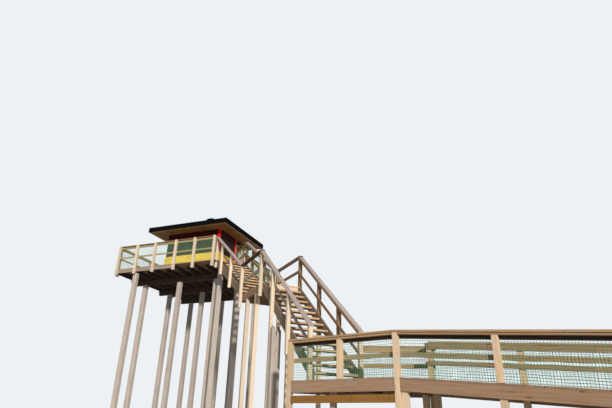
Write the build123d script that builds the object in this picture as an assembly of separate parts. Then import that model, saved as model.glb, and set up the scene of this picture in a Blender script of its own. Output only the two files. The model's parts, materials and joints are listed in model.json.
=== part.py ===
from build123d import *
import math
import os

# Lifeguard tower: a timber hut with a low hipped roof on a raised deck, a stair in two
# flights that leaves the deck's corner, and a ramped boardwalk at the stair's foot.
# Millimetres, +Z up. The origin is the middle of the foot of the deck's front right pile,
# on the ground. +X runs right along the deck's front, +Y runs back under the hut.

# Levels
PLATFORM_TOP = 1200.0       # top of the boards at the stair's foot, above the ground
RISE = 203.0                # one step
UPPER_RISERS = 11           # from the landing to the deck
LOWER_RISERS = 15           # from the platform to the landing
LANDING_TOP = PLATFORM_TOP + LOWER_RISERS * RISE
DECK_TOP = LANDING_TOP + UPPER_RISERS * RISE

# Timber sections
BOARD = 35.0                # thickness of the walking boards, except on the steps
POST = 100.0                # side of a railing post
CAP_WIDTH = 140.0           # flat handrail board on the posts
CAP_THICK = 40.0
RAIL_DEPTH = 90.0           # upright boards on the posts
DECK_RAIL_DEPTH = 65.0      # the same at mid height on the deck
STAIR_BATTEN = 70.0         # upright board under the stair's right handrails
RAIL_THICK = 35.0
JOIST_WIDTH = 75.0
JOIST_DEPTH = 200.0
GIRDER_WIDTH = 100.0
GIRDER_DEPTH = 225.0
PILE = 200.0
LEG = 120.0                 # side of the stair's and boardwalk's legs

# Railings on the deck and stair
RAIL_HEIGHT = 1050.0        # handrail above the deck, landing or step nosing
MID_RAIL_HEIGHT = 510.0     # middle of the middle rail
POST_TAIL = 290.0           # a post's end below the boards or nosings beside it
LANDING_TAIL = 430.0        # the same for the landing's posts
LOWER_TAIL = 560.0          # the same for the lower flight's posts

# Deck
PILE_BAY_X = 1870.0
PILE_BAY_Y = 1870.0
PILE_ROWS = 3
PILE_COLUMNS = 3
DECK_BAY = 960.0            # front railing bays, post to post
DECK_MID_BAY = 1080.0
DECK_OVERHANG_RIGHT = 610.0
DECK_OVERHANG_FRONT = 1290.0
DECK_OVERHANG_BACK = 470.0
JOIST_RECESS = 420.0        # middle joists stop short of the deck's front
EDGE_BOARD_BAYS = 3         # bays from the left whose joist ends are closed
EDGE_BOARD = 35.0           # thickness of the boards that close the joist ends
EDGE_DEPTH = 150.0

# Hut
HUT_WIDTH = 2870.0
HUT_DEPTH = 2490.0
WALK_RIGHT = 1065.0         # deck between the hut and the deck's right edge
WALK_FRONT = 1915.0
WALL_HEIGHT = 2185.0
WALL = 60.0
CORNER_POST = 110.0
CORNER_PROUD = 15.0         # corner posts stand out of the wall
SILL_HEIGHT = 1055.0        # top of the yellow boards, and bottom of the windows
LOW_BOARD = 30.0            # thickness of the yellow boards
LOW_BOARD_LIFT = 12.0       # gap under the yellow boards
BAND_HEIGHT = 310.0         # red board under the soffit
BAND_BOARD = 20.0
SHUTTER = 25.0
SHUTTER_BAY = 860.0         # wanted width of one shutter
SHUTTER_JOINT = 8.0
WINDOW_JAMB = 25.0
FLOOR_SHEET = 18.0
DOOR_BAY = 795.0            # between the door post and the back corner post
DOOR_HEIGHT = 1970.0
DOOR_LEAF = 45.0
DOOR_FRAME = 55.0
DOOR_GAP = 4.0

# Roof
EAVES_OVER = 710.0          # roof's edge beyond the walls
SOFFIT = 18.0
FASCIA_HEIGHT = 175.0
FASCIA = 30.0
ROOF_RISE = 880.0           # from the eaves to the ridge
ROOF_SHEET = 45.0
RIDGE_CAP_RISE = 135.0      # cap's top above the ridge
RIDGE_CAP_SKIRT = 60.0      # cap's lower edge below the ridge
RIDGE_CAP_WIDTH = 240.0
RIDGE_CAP_OVER = 60.0
RIDGE_CAP_END = 110.0       # cap's ends slope in by this much

# Stair
STAIR_TURN = 47.0           # the stair's top edge against the deck's front, in degrees
STAIR_HEAD_BACK = 194.0     # back from the deck's front edge to the stair's left top corner
STAIR_HEAD_OUT = 57.0       # that corner, right of the deck's right edge
RAIL_SPACING = 1330.0       # between the two lines of stair posts
UPPER_GOING = 348.0
LOWER_GOING = 248.0
LANDING_LENGTH = 2050.0
TREAD = 50.0                # thickness of a step's board
STRINGER = 50.0
STRINGER_OVER = 45.0        # stringer's top edge above the nosings
STRINGER_UNDER = 270.0      # stringer's lower edge below the nosings
TOP_NEWEL = 100.0           # top newels behind the deck's edge
NEWEL_INSET = 87.0          # landing newels from the landing's edges
FOOT_NEWEL_INSET = 65.0     # foot newels before the last nosing
UPPER_POSTS = [850.0, 2240.0]        # middle posts of the upper flight, from the top newel
LOWER_POSTS_LEFT = [1040.0, 2205.0]  # from the landing newel
LOWER_POSTS_RIGHT = [1340.0, 2475.0]
LANDING_RIM = 50.0
LANDING_JOIST = 185.0
LANDING_LEG_INSET = 600.0   # landing's legs from its edges, along the stair
OLD_PILE = 210.0            # broken old pile beside the first leg, along the stair
OLD_PILE_THICK = 270.0      # the same, across the stair
OLD_PILE_TOP = 2790.0

# Boardwalk
WALK_ANGLE = -14.4          # boardwalk's run against the deck's front, in degrees
WALK_WIDTH = 1720.0         # between the two lines of posts
FOOT_ALONG = 2200.0         # stair's left foot newel back from the corner post
FOOT_BEHIND = 175.0         # stair's left foot newel behind the front posts
PLATFORM_BAY = 1300.0       # front railing bays on the platform
PLATFORM_BAYS = 2
PLATFORM_BACK = 2525.0      # platform's back corner behind the front posts
PLATFORM_BACK_ALONG = 150.0 # that corner, left of the ramp's start
PLATFORM_LEG_BACK = 650.0   # platform's left leg behind the front posts
STAIR_BEARING = 316.0       # platform's edge behind the foot newels
RAMP_BAY = 1909.0
RAMP_BAYS = 3
RAMP_SLOPE = 0.083
WALK_RAIL_HEIGHT = 890.0
WALK_MID_RAIL_HEIGHT = 430.0
WALK_CAP_OVER = 8.0         # handrail beyond the posts' outer face and the boards' inner face
WALK_CAP_THICK = 45.0       # each of the two stacked handrail boards
WALK_BATTEN = 70.0          # upright board, below the stacked ones
RAIL_JOINT = 3.0            # between the platform's two far railings, at their corner
WALK_POST = 110.0
WALK_EDGE = 45.0            # boards' edge beyond the middle of the posts
WALK_FASCIA = 40.0
WALK_FASCIA_DEPTH = 250.0
WALK_JOIST = 60.0
WALK_JOIST_DEPTH = 150.0
LOWER_BEAM_DEPTH = 150.0    # beam under the platform's front edge
LOWER_BEAM_WIDTH = 60.0
LOWER_BEAM_GAP = 55.0


class Place:
    """An upright frame: a point on the plan and the direction of its first axis."""

    def __init__(self, x, y, angle):
        self.x, self.y, self.angle = x, y, angle
        self.cos = math.cos(math.radians(angle))
        self.sin = math.sin(math.radians(angle))

    def point(self, a, b):
        """Plan point of the local point (a, b)."""
        return (self.x + a * self.cos - b * self.sin, self.y + a * self.sin + b * self.cos)

    def local(self, x, y):
        """Local point of the plan point (x, y)."""
        dx, dy = x - self.x, y - self.y
        return (dx * self.cos + dy * self.sin, -dx * self.sin + dy * self.cos)

    def put(self, shape):
        return Location((self.x, self.y, 0), (0, 0, self.angle)) * shape

    def slab(self, outline, low, high):
        """A plan outline raised from one level to another."""
        wire = Polyline(*[(a, b, low) for a, b in outline], close=True)
        return self.put(extrude(make_face(wire), amount=high - low, dir=(0, 0, 1)))

    def plate(self, outline, side_0, side_1):
        """An upright outline of (along, level) points, carried across from side_0 to side_1."""
        wire = Polyline(*[(a, side_0, level) for a, level in outline], close=True)
        return self.put(extrude(make_face(wire), amount=side_1 - side_0, dir=(0, 1, 0)))

    def block(self, a0, a1, b0, b1, low, high):
        return self.slab([(a0, b0), (a1, b0), (a1, b1), (a0, b1)], low, high)

    def column(self, a, b, side, low, high):
        half = side / 2
        return self.block(a - half, a + half, b - half, b + half, low, high)


def between(p, q):
    """A frame whose first axis runs from the plan point p to q, and the distance."""
    angle = math.degrees(math.atan2(q[1] - p[1], q[0] - p[0]))
    return Place(p[0], p[1], angle), math.hypot(q[0] - p[0], q[1] - p[1])


def fused(solids):
    body = solids[0]
    for solid in solids[1:]:
        body = body + solid
    return body


def write(name, solids):
    """One STEP file for one named piece, which may be several solids that don't touch."""
    shape = solids[0] if len(solids) == 1 else Compound(children=list(solids))
    export_step(shape, f"parts/{name}.step")


def spread(start, end, bay):
    """Even places from start to end, about one bay apart."""
    count = max(1, round((end - start) / bay))
    return [start + i * (end - start) / count for i in range(count + 1)]


# Main places
HUT = Place(0, 0, 0)
DECK_RIGHT = DECK_OVERHANG_RIGHT
DECK_FRONT = -DECK_OVERHANG_FRONT
DECK_LEFT = DECK_RIGHT - (4 * DECK_BAY + DECK_MID_BAY + POST)
DECK_BACK = (PILE_ROWS - 1) * PILE_BAY_Y + DECK_OVERHANG_BACK
JOIST_TOP = DECK_TOP - BOARD
JOIST_BOTTOM = JOIST_TOP - JOIST_DEPTH
GIRDER_BOTTOM = JOIST_BOTTOM - GIRDER_DEPTH

HUT_RIGHT = DECK_RIGHT - WALK_RIGHT
HUT_LEFT = HUT_RIGHT - HUT_WIDTH
HUT_FRONT = DECK_FRONT + WALK_FRONT
HUT_BACK = HUT_FRONT + HUT_DEPTH
EAVES = DECK_TOP + WALL_HEIGHT
BAND_LOW = EAVES - BAND_HEIGHT
SILL = DECK_TOP + SILL_HEIGHT
POST_IN = CORNER_POST - CORNER_PROUD    # corner post's inner side, from the wall's face

STAIR_EDGE = RAIL_SPACING - POST        # width of the stair over its stringers
HALF_EDGE = STAIR_EDGE / 2
HALF_SPACING = RAIL_SPACING / 2
STAIR_HEAD = Place(DECK_RIGHT + STAIR_HEAD_OUT, DECK_FRONT + STAIR_HEAD_BACK, STAIR_TURN)
STAIR = Place(*STAIR_HEAD.point(HALF_EDGE, 0), STAIR_TURN - 90)
WING_FAR = STAIR_HEAD.point(STAIR_EDGE, 0)
WING_BACK = (DECK_RIGHT, WING_FAR[1] + (WING_FAR[0] - DECK_RIGHT) / math.tan(math.radians(STAIR_TURN)))

LANDING_BACK = (UPPER_RISERS - 1) * UPPER_GOING
LANDING_FRONT = LANDING_BACK + LANDING_LENGTH
STAIR_FOOT = LANDING_FRONT + (LOWER_RISERS - 1) * LOWER_GOING
LANDING_UNDER = LANDING_TOP - BOARD - LANDING_JOIST
BACK_NEWEL = LANDING_BACK + NEWEL_INSET
FRONT_NEWEL = LANDING_FRONT - NEWEL_INSET

FOOT_NEWEL = STAIR_FOOT - FOOT_NEWEL_INSET
FOOT = STAIR.point(FOOT_NEWEL, -HALF_SPACING)
WALK = Place(*Place(*FOOT, WALK_ANGLE).point(FOOT_ALONG, -FOOT_BEHIND), WALK_ANGLE)
PLATFORM_LENGTH = PLATFORM_BAYS * PLATFORM_BAY
RAMP_LENGTH = RAMP_BAYS * RAMP_BAY
FAR_EDGE = WALK_WIDTH + WALK_EDGE


def deck_level(a):
    return DECK_TOP


def landing_level(a):
    return LANDING_TOP


def upper_nosing(s):
    """Level of the upper flight's nosing line at the place s down the stair."""
    return DECK_TOP - RISE / UPPER_GOING * s


def lower_nosing(s):
    return LANDING_TOP - RISE / LOWER_GOING * (s - LANDING_FRONT)


def walk_level(u):
    """Top of the boardwalk's boards: level on the platform, falling along the ramp."""
    return PLATFORM_TOP - RAMP_SLOPE * max(u, 0)


def strip(place, level, a0, a1, low, high, side_0, side_1):
    """A straight board that follows a level line, low to high above it."""
    outline = [(a0, level(a0) + low), (a1, level(a1) + low), (a1, level(a1) + high), (a0, level(a0) + high)]
    return place.plate(outline, min(side_0, side_1), max(side_0, side_1))


def railing(place, level, posts, line, inner, cap, boards, batten, rail, tail=POST_TAIL, notched=False):
    """Posts, a flat handrail on them, and upright boards on their inner side.

    posts are places along the run, line is their middle across it, inner is +1 or -1
    towards the walkway, and cap and boards give the ends of the handrail and boards.
    A notched handrail lies on the posts' inner half, and their outer half stands beside it.
    batten is the depth of the board under the handrail, or 0 for none, and rail of the one
    at mid height.
    """
    half = POST / 2
    under = RAIL_HEIGHT - CAP_THICK
    face = line + inner * half
    back = face + inner * RAIL_THICK
    outer = line if notched else line - inner * CAP_WIDTH / 2
    top = RAIL_HEIGHT if notched else under
    solids = [strip(place, level, *cap, under, RAIL_HEIGHT, outer, outer + inner * CAP_WIDTH)]
    if batten:
        solids.append(strip(place, level, *boards, under - batten, under, face, back))
    mid = MID_RAIL_HEIGHT - rail / 2
    solids.append(strip(place, level, *boards, mid, mid + rail, face, back))
    for a in posts:
        foot = level(a) - tail
        outline = [(a - half, foot), (a + half, foot), (a + half, level(a + half) + top),
                   (a - half, level(a - half) + top)]
        solids.append(place.plate(outline, line - half, line + half))
    return fused(solids)


# Deck

def deck_outline():
    """A rectangle with a wing that meets the stair's top edge."""
    head = (STAIR_HEAD.x, STAIR_HEAD.y)
    return [(DECK_LEFT, DECK_FRONT), (DECK_RIGHT, DECK_FRONT), head, WING_FAR, WING_BACK,
            (DECK_RIGHT, DECK_BACK), (DECK_LEFT, DECK_BACK)]


def deck():
    newel = STAIR.column(-TOP_NEWEL, -HALF_SPACING, POST, JOIST_BOTTOM, DECK_TOP)
    write("deck_boards", [HUT.slab(deck_outline(), JOIST_TOP, DECK_TOP) - newel])

    # Boards close the joist ends on the left, the back and part of the front.
    edge_low = JOIST_TOP - EDGE_DEPTH
    front = DECK_FRONT + EDGE_BOARD
    back = DECK_BACK - EDGE_BOARD
    side = DECK_LEFT + EDGE_BOARD
    posts = front_posts()
    edges = [HUT.block(DECK_LEFT, posts[EDGE_BOARD_BAYS], DECK_FRONT, front, edge_low, JOIST_TOP),
             HUT.block(DECK_LEFT, DECK_RIGHT, back, DECK_BACK, edge_low, JOIST_TOP),
             HUT.block(DECK_LEFT, side, front, back, edge_low, JOIST_TOP)]
    write("deck_edge_boards", [fused(edges)])

    # A joist runs beside each front post, and a shorter one between each two.
    half = POST / 2
    behind = STAIR_HEAD.block(-DECK_OVERHANG_FRONT, 0, -DECK_OVERHANG_FRONT, TOP_NEWEL + half,
                              JOIST_BOTTOM, JOIST_TOP)
    long = [side] + [a - half - JOIST_WIDTH for a in posts[1:]]
    short = [(a + b) / 2 for a, b in zip(long, long[1:])]
    starts = [(a, front) for a in long] + [(a, DECK_FRONT + JOIST_RECESS) for a in short]
    joists = [HUT.block(a, a + JOIST_WIDTH, b, back, JOIST_BOTTOM, JOIST_TOP) - newel for a, b in starts]
    last = HUT.block(DECK_RIGHT - JOIST_WIDTH, DECK_RIGHT, front, back, JOIST_BOTTOM, JOIST_TOP) - behind
    joists.append(last.solids().sort_by(Axis.Y)[-1])
    write("deck_joists", joists)

    # The wing's two beams stand out from the last joist and meet at its far corner.
    side, length = between(WING_BACK, WING_FAR)
    head_beam = STAIR_HEAD.block(0, STAIR_EDGE, 0, JOIST_WIDTH, JOIST_BOTTOM, JOIST_TOP)
    side_beam = side.block(-JOIST_WIDTH, length, -JOIST_WIDTH, 0, JOIST_BOTTOM, JOIST_TOP)
    beyond = HUT.block(DECK_RIGHT, DECK_RIGHT + DECK_OVERHANG_FRONT, DECK_FRONT, DECK_BACK,
                       JOIST_BOTTOM, JOIST_TOP)
    write("wing_frame", [fused([head_beam, side_beam & beyond])])

    girders = []
    piles = []
    for j in range(PILE_ROWS):
        b = j * PILE_BAY_Y
        half = GIRDER_WIDTH / 2
        girders.append(HUT.block(DECK_LEFT + EDGE_BOARD, DECK_RIGHT, b - half, b + half,
                                 GIRDER_BOTTOM, JOIST_BOTTOM))
        piles += [HUT.column(-i * PILE_BAY_X, b, PILE, 0, GIRDER_BOTTOM) for i in range(PILE_COLUMNS)]
    write("deck_girders", girders)
    piles.append(HUT.column(posts[1], front + PILE / 2, PILE, 0, JOIST_BOTTOM))
    piles += [STAIR_HEAD.column(a, PILE / 2, PILE, 0, JOIST_BOTTOM) for a in (PILE, STAIR_EDGE - PILE)]
    write("deck_piles", piles + [old_pile()])


def front_posts():
    """Places of the deck's front railing posts, from left to right."""
    posts = [DECK_LEFT + POST / 2]
    for bay in (DECK_BAY, DECK_BAY, DECK_MID_BAY, DECK_BAY, DECK_BAY):
        posts.append(posts[-1] + bay)
    return posts


def deck_railings():
    half = POST / 2

    def level_railing(place, posts, line, inner, cap, boards):
        return railing(place, deck_level, posts, line, inner, cap, boards, RAIL_DEPTH,
                       DECK_RAIL_DEPTH, notched=True)

    ends = (DECK_LEFT, DECK_RIGHT)
    write("front_railing", [level_railing(HUT, front_posts(), DECK_FRONT - half, 1, ends, ends)])
    posts = spread(DECK_LEFT + half, DECK_RIGHT - half, DECK_BAY)
    write("back_railing", [level_railing(HUT, posts, DECK_BACK + half, -1, ends, ends)])

    # The sides run between the front and back railings.
    depth = Place(0, 0, 90)
    cap_over = CAP_WIDTH - half
    cap = (DECK_FRONT + cap_over, DECK_BACK - cap_over)
    boards = (DECK_FRONT + RAIL_THICK, DECK_BACK - RAIL_THICK)
    posts = spread(cap[0] + half, cap[1] - half, DECK_BAY)
    left = level_railing(depth, posts, -DECK_LEFT + half, -1, cap, boards)
    start = WING_BACK[1] + CAP_WIDTH
    posts = spread(start + half, cap[1] - half, DECK_BAY)
    right = level_railing(depth, posts, -DECK_RIGHT - half, 1, (start, cap[1]), (start, boards[1]))
    write("side_railings", [left, right])
    side, length = between(WING_BACK, WING_FAR)
    ends = (0, length - TOP_NEWEL - half)
    write("wing_railing", [level_railing(side, [POST], half, -1, ends, ends)])


# Stair

def treads(start, top, risers, going):
    inner = HALF_EDGE - STRINGER
    steps = []
    for k in range(1, risers):
        level = top - k * RISE
        nosing = start + k * going
        steps.append(STAIR.block(nosing - going, nosing, -inner, inner, level - TREAD, level))
    return steps


def pair(make, side_0, side_1):
    """The same piece on the left and right of the stair."""
    return [make(-side_1, -side_0), make(side_0, side_1)]


def stair():
    inner = HALF_EDGE - STRINGER
    top = DECK_TOP - BOARD
    foot = LANDING_BACK
    head = (STRINGER_OVER + BOARD) * UPPER_GOING / RISE
    outline = [(0, top), (0, top - STRINGER_UNDER), (foot, upper_nosing(foot) - STRINGER_UNDER),
               (foot, upper_nosing(foot) + STRINGER_OVER), (head, top)]
    write("upper_stringers", pair(lambda p, q: STAIR.plate(outline, p, q), inner, HALF_EDGE))
    write("upper_treads", treads(0, DECK_TOP, UPPER_RISERS, UPPER_GOING))

    top = LANDING_TOP - BOARD
    going = LOWER_GOING / RISE
    knee = LANDING_FRONT + (LANDING_TOP - STRINGER_UNDER - PLATFORM_TOP) * going
    outline = [(LANDING_FRONT, top), (LANDING_FRONT, lower_nosing(LANDING_FRONT) - STRINGER_UNDER),
               (knee, PLATFORM_TOP), (STAIR_FOOT, PLATFORM_TOP), (STAIR_FOOT, lower_nosing(STAIR_FOOT) +
               STRINGER_OVER), (LANDING_FRONT + (STRINGER_OVER + BOARD) * going, top)]
    write("lower_stringers", pair(lambda p, q: STAIR.plate(outline, p, q), inner, HALF_EDGE))
    write("lower_treads", treads(LANDING_FRONT, LANDING_TOP, LOWER_RISERS, LOWER_GOING))


def landing():
    write("landing_boards", [STAIR.block(LANDING_BACK, LANDING_FRONT, -HALF_EDGE, HALF_EDGE,
                                         LANDING_TOP - BOARD, LANDING_TOP)])
    low, high = LANDING_UNDER, LANDING_TOP - BOARD
    middle = (LANDING_BACK + LANDING_FRONT) / 2
    rim = LANDING_RIM
    frame = [STAIR.block(a, a + rim, -HALF_EDGE, HALF_EDGE, low, high)
             for a in (LANDING_BACK, middle - rim / 2, LANDING_FRONT - rim)]
    frame += pair(lambda p, q: STAIR.block(LANDING_BACK, LANDING_FRONT, p, q, low, high),
                  HALF_EDGE - rim, HALF_EDGE)
    write("landing_frame", [fused(frame)])


def line_between(start, end):
    """A straight slope between two (place, level) points."""
    (a0, z0), (a1, z1) = start, end
    return lambda a: z0 + (z1 - z0) * (a - a0) / (a1 - a0)


upper_line = line_between((-TOP_NEWEL, DECK_TOP), (BACK_NEWEL, LANDING_TOP))
lower_line = line_between((FRONT_NEWEL, LANDING_TOP), (FOOT_NEWEL, PLATFORM_TOP + RISE))


def stair_railings():
    half = POST / 2

    def both(level, posts_left, posts_right, ends, tail=POST_TAIL):
        left = railing(STAIR, level, posts_left, -HALF_SPACING, 1, ends, ends, 0, RAIL_DEPTH, tail)
        right = railing(STAIR, level, posts_right, HALF_SPACING, -1, ends, ends, STAIR_BATTEN,
                        RAIL_DEPTH, tail)
        return [left, right]

    posts = [-TOP_NEWEL] + [place - TOP_NEWEL for place in UPPER_POSTS]
    ends = (-TOP_NEWEL - half, BACK_NEWEL - half)
    write("upper_railings", both(upper_line, posts, posts, ends))

    posts = [BACK_NEWEL, FRONT_NEWEL]
    ends = (BACK_NEWEL - half, FRONT_NEWEL + half)
    write("landing_railings", both(landing_level, posts, posts, ends, LANDING_TAIL))

    # The lower railings end on newels that stand on the platform.
    left = [FRONT_NEWEL + place for place in LOWER_POSTS_LEFT]
    right = [FRONT_NEWEL + place for place in LOWER_POSTS_RIGHT]
    ends = (FRONT_NEWEL + half, FOOT_NEWEL + half)
    under = RAIL_HEIGHT - CAP_THICK
    foot = [(FOOT_NEWEL - half, PLATFORM_TOP), (FOOT_NEWEL + half, PLATFORM_TOP),
            (FOOT_NEWEL + half, lower_line(FOOT_NEWEL + half) + under),
            (FOOT_NEWEL - half, lower_line(FOOT_NEWEL - half) + under)]
    newels = [STAIR.plate(foot, side * HALF_SPACING - half, side * HALF_SPACING + half) for side in (-1, 1)]
    sides = both(lower_line, left, right, ends, LOWER_TAIL)
    write("lower_railings", [side + newel for side, newel in zip(sides, newels)])


def stair_legs():
    """The landing's four legs, and one under the first post on each side of the lower flight."""
    legs = []
    for a in (LANDING_BACK + LANDING_LEG_INSET, LANDING_FRONT - LANDING_LEG_INSET):
        legs += [STAIR.column(a, side * (HALF_EDGE - LEG / 2), LEG, 0, LANDING_UNDER) for side in (-1, 1)]
    for side, place in ((-1, LOWER_POSTS_LEFT[0]), (1, LOWER_POSTS_RIGHT[0])):
        a = FRONT_NEWEL + place
        legs.append(STAIR.column(a, side * HALF_SPACING, POST, 0, lower_line(a) - LOWER_TAIL))
    write("stair_legs", legs)


def old_pile():
    """A broken old pile stands against the first leg on the left."""
    start = FRONT_NEWEL + LOWER_POSTS_LEFT[0] + POST / 2
    outer = -HALF_SPACING - POST / 2
    return STAIR.block(start, start + OLD_PILE, outer, outer + OLD_PILE_THICK, 0, OLD_PILE_TOP)


# Hut

def hut():
    posts = []
    for a in (HUT_LEFT - CORNER_PROUD, HUT_RIGHT - POST_IN):
        for b in (HUT_FRONT - CORNER_PROUD, HUT_BACK - POST_IN):
            posts.append(HUT.block(a, a + CORNER_POST, b, b + CORNER_POST, DECK_TOP, EAVES))
    door_start = HUT_BACK - POST_IN - DOOR_BAY
    post_start = door_start - CORNER_POST
    posts.append(HUT.block(HUT_RIGHT - POST_IN, HUT_RIGHT + CORNER_PROUD, post_start, door_start,
                           DECK_TOP, EAVES))
    write("corner_posts", posts)

    shutters = []

    def wall(name, place, start, end, extra=()):
        """A wall whose outer face is the frame's zero line, with one band of windows cut through."""
        jambs = (start + WINDOW_JAMB, end - WINDOW_JAMB)
        body = place.block(start, end, 0, WALL, DECK_TOP, EAVES)
        body -= place.block(*jambs, -WALL, 2 * WALL, SILL, BAND_LOW)
        write(name, [body, *extra])
        width = jambs[1] - jambs[0]
        count = max(1, round(width / SHUTTER_BAY))
        leaf = (width - (count - 1) * SHUTTER_JOINT) / count
        for i in range(count):
            a = jambs[0] + i * (leaf + SHUTTER_JOINT)
            shutters.append(place.block(a, a + leaf, 0, SHUTTER, SILL, BAND_LOW))

    front = Place(HUT_LEFT, HUT_FRONT, 0)
    right = Place(HUT_RIGHT, HUT_FRONT, 90)
    back = Place(HUT_RIGHT, HUT_BACK, 180)
    left = Place(HUT_LEFT, HUT_BACK, 270)
    right_end = post_start - HUT_FRONT
    wall("front_wall", front, POST_IN, HUT_WIDTH - POST_IN)
    door_a = door_start - HUT_FRONT
    door_b = door_a + DOOR_BAY
    head = DECK_TOP + DOOR_HEIGHT
    wall("right_wall", right, POST_IN, right_end, [right.block(door_a, door_b, 0, WALL, head, EAVES)])
    wall("back_wall", back, POST_IN, HUT_WIDTH - POST_IN)
    wall("left_wall", left, POST_IN, HUT_DEPTH - POST_IN)
    write("window_shutters", shutters)

    opening = right.block(door_a + DOOR_FRAME, door_b - DOOR_FRAME, -WALL, 2 * WALL, DECK_TOP,
                          head - DOOR_FRAME)
    write("door_frame", [right.block(door_a, door_b, 0, WALL, DECK_TOP, head) - opening])
    write("door", [right.block(door_a + DOOR_FRAME, door_b - DOOR_FRAME, DOOR_GAP, DOOR_GAP + DOOR_LEAF,
                               DECK_TOP + FLOOR_SHEET, head - DOOR_FRAME)])

    # Yellow boards cover the corner posts' feet and stop at the door post.
    out = CORNER_PROUD + LOW_BOARD
    low, high = DECK_TOP + LOW_BOARD_LIFT, SILL
    ends = (HUT_LEFT - out, HUT_RIGHT + out)
    proud_front, proud_back = HUT_FRONT - CORNER_PROUD, HUT_BACK + CORNER_PROUD
    cover = [HUT.block(*ends, HUT_FRONT - out, proud_front, low, high),
             HUT.block(*ends, proud_back, HUT_BACK + out, low, high),
             HUT.block(ends[0], HUT_LEFT - CORNER_PROUD, proud_front, proud_back, low, high),
             HUT.block(HUT_RIGHT + CORNER_PROUD, ends[1], proud_front,
                       post_start, low, high)]
    write("yellow_boards", [fused(cover)])

    band = [front.block(POST_IN, HUT_WIDTH - POST_IN, -BAND_BOARD, 0, BAND_LOW, EAVES),
            back.block(POST_IN, HUT_WIDTH - POST_IN, -BAND_BOARD, 0, BAND_LOW, EAVES),
            left.block(POST_IN, HUT_DEPTH - POST_IN, -BAND_BOARD, 0, BAND_LOW, EAVES),
            right.block(POST_IN, right_end, -BAND_BOARD, 0, BAND_LOW, EAVES)]
    write("red_top_boards", band)

    floor = HUT.block(HUT_LEFT + WALL, HUT_RIGHT - WALL, HUT_FRONT + WALL, HUT_BACK - WALL, DECK_TOP,
                      DECK_TOP + FLOOR_SHEET)
    write("hut_floor", [floor - fused(posts)])


def roof():
    left, right = HUT_LEFT - EAVES_OVER, HUT_RIGHT + EAVES_OVER
    front, back = HUT_FRONT - EAVES_OVER, HUT_BACK + EAVES_OVER
    write("soffit", [HUT.block(left + FASCIA, right - FASCIA, front + FASCIA, back - FASCIA, EAVES,
                               EAVES + SOFFIT)])
    base = EAVES + FASCIA_HEIGHT
    ring = HUT.block(left, right, front, back, EAVES, base)
    ring -= HUT.block(left + FASCIA, right - FASCIA, front + FASCIA, back - FASCIA, EAVES, base)
    write("roof_fascia", [ring])

    # The hipped form is a gable along X met by a hipped section along Y.
    mid = (front + back) / 2
    half = (back - front) / 2
    ridge = base + ROOF_SHEET + ROOF_RISE
    eave = base + ROOF_SHEET

    def hipped(drop):
        low = base - ROOF_RISE
        gable = [(front, low), (back, low), (back, eave - drop), (mid, ridge - drop), (front, eave - drop)]
        hips = [(left, low), (right, low), (right, eave - drop), (right - half, ridge - drop),
                (left + half, ridge - drop), (left, eave - drop)]
        return Place(0, 0, 90).plate(gable, -right, -left) & HUT.plate(hips, front, back)

    outer = hipped(0)
    above = HUT.block(left, right, front, back, base, ridge + ROOF_RISE)
    sheet = (outer - hipped(ROOF_SHEET)) & above
    ridge_left, ridge_right = (left + half, mid), (right - half, mid)
    slopes = {"front_roof": [(left, front), (right, front), ridge_right, ridge_left],
              "right_roof": [(right, front), (right, back), ridge_right],
              "back_roof": [(right, back), (left, back), ridge_left, ridge_right],
              "left_roof": [(left, back), (left, front), ridge_left]}
    for name, outline in slopes.items():
        write(name, [sheet & HUT.slab(outline, base, ridge)])
    half_cap = RIDGE_CAP_WIDTH / 2
    start, end = ridge_left[0] - RIDGE_CAP_OVER, ridge_right[0] + RIDGE_CAP_OVER
    top = ridge + RIDGE_CAP_RISE
    outline = [(start, ridge - RIDGE_CAP_SKIRT), (end, ridge - RIDGE_CAP_SKIRT), (end, ridge),
               (end - RIDGE_CAP_END, top), (start + RIDGE_CAP_END, top), (start, ridge)]
    write("ridge_cap", [HUT.plate(outline, mid - half_cap, mid + half_cap) - outer])


# Boardwalk

def walk_railing(place, level, start, end, posts, line, inner, gaps):
    """A handrail of two stacked boards, posts under it, and upright boards on the posts' inner side.

    inner is +1 or -1 towards the boards underfoot. gaps are the main posts' places, between
    which the handrail's lower board is cut to length.
    """
    half = WALK_POST / 2
    outer = line - inner * (half + WALK_CAP_OVER)
    face = line + inner * half
    back = face + inner * RAIL_THICK
    height = WALK_RAIL_HEIGHT
    middle = height - WALK_CAP_THICK
    under = middle - WALK_CAP_THICK
    mid = WALK_MID_RAIL_HEIGHT - RAIL_DEPTH / 2
    solids = [strip(place, level, start, end, middle, height, outer, back + inner * WALK_CAP_OVER),
              strip(place, level, start, end, under - WALK_BATTEN, middle, face, back),
              strip(place, level, start, end, mid, mid + RAIL_DEPTH, face, back)]
    cuts = sorted([start - half, end + half] + list(gaps))
    for a, b in zip(cuts, cuts[1:]):
        if b - a > WALK_POST:
            solids.append(strip(place, level, a + half, b - half, under, middle, line - inner * half, face))
    for a in posts:
        outline = [(a - half, level(a - half)), (a + half, level(a + half)),
                   (a + half, level(a + half) + under), (a - half, level(a - half) + under)]
        solids.append(place.plate(outline, min(line - half, line + half), max(line - half, line + half)))
    return fused(solids)


def platform_outline():
    """Front edge, the ramp's start, the back corner, and an edge under the stair's foot."""
    edge = Place(*STAIR.point(FOOT_NEWEL - STAIR_BEARING, 0), STAIR_TURN)
    right = WALK.local(*edge.point(HALF_SPACING + POST, 0))
    along = WALK.local(*edge.point(-RAIL_SPACING, 0))
    corner = -PLATFORM_LENGTH - WALK_EDGE
    share = (corner - along[0]) / (right[0] - along[0])
    left = (corner, along[1] + share * (right[1] - along[1]))
    return [(corner, -WALK_EDGE), (0, -WALK_EDGE), (0, FAR_EDGE), (-PLATFORM_BACK_ALONG, PLATFORM_BACK),
            right, left]


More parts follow.
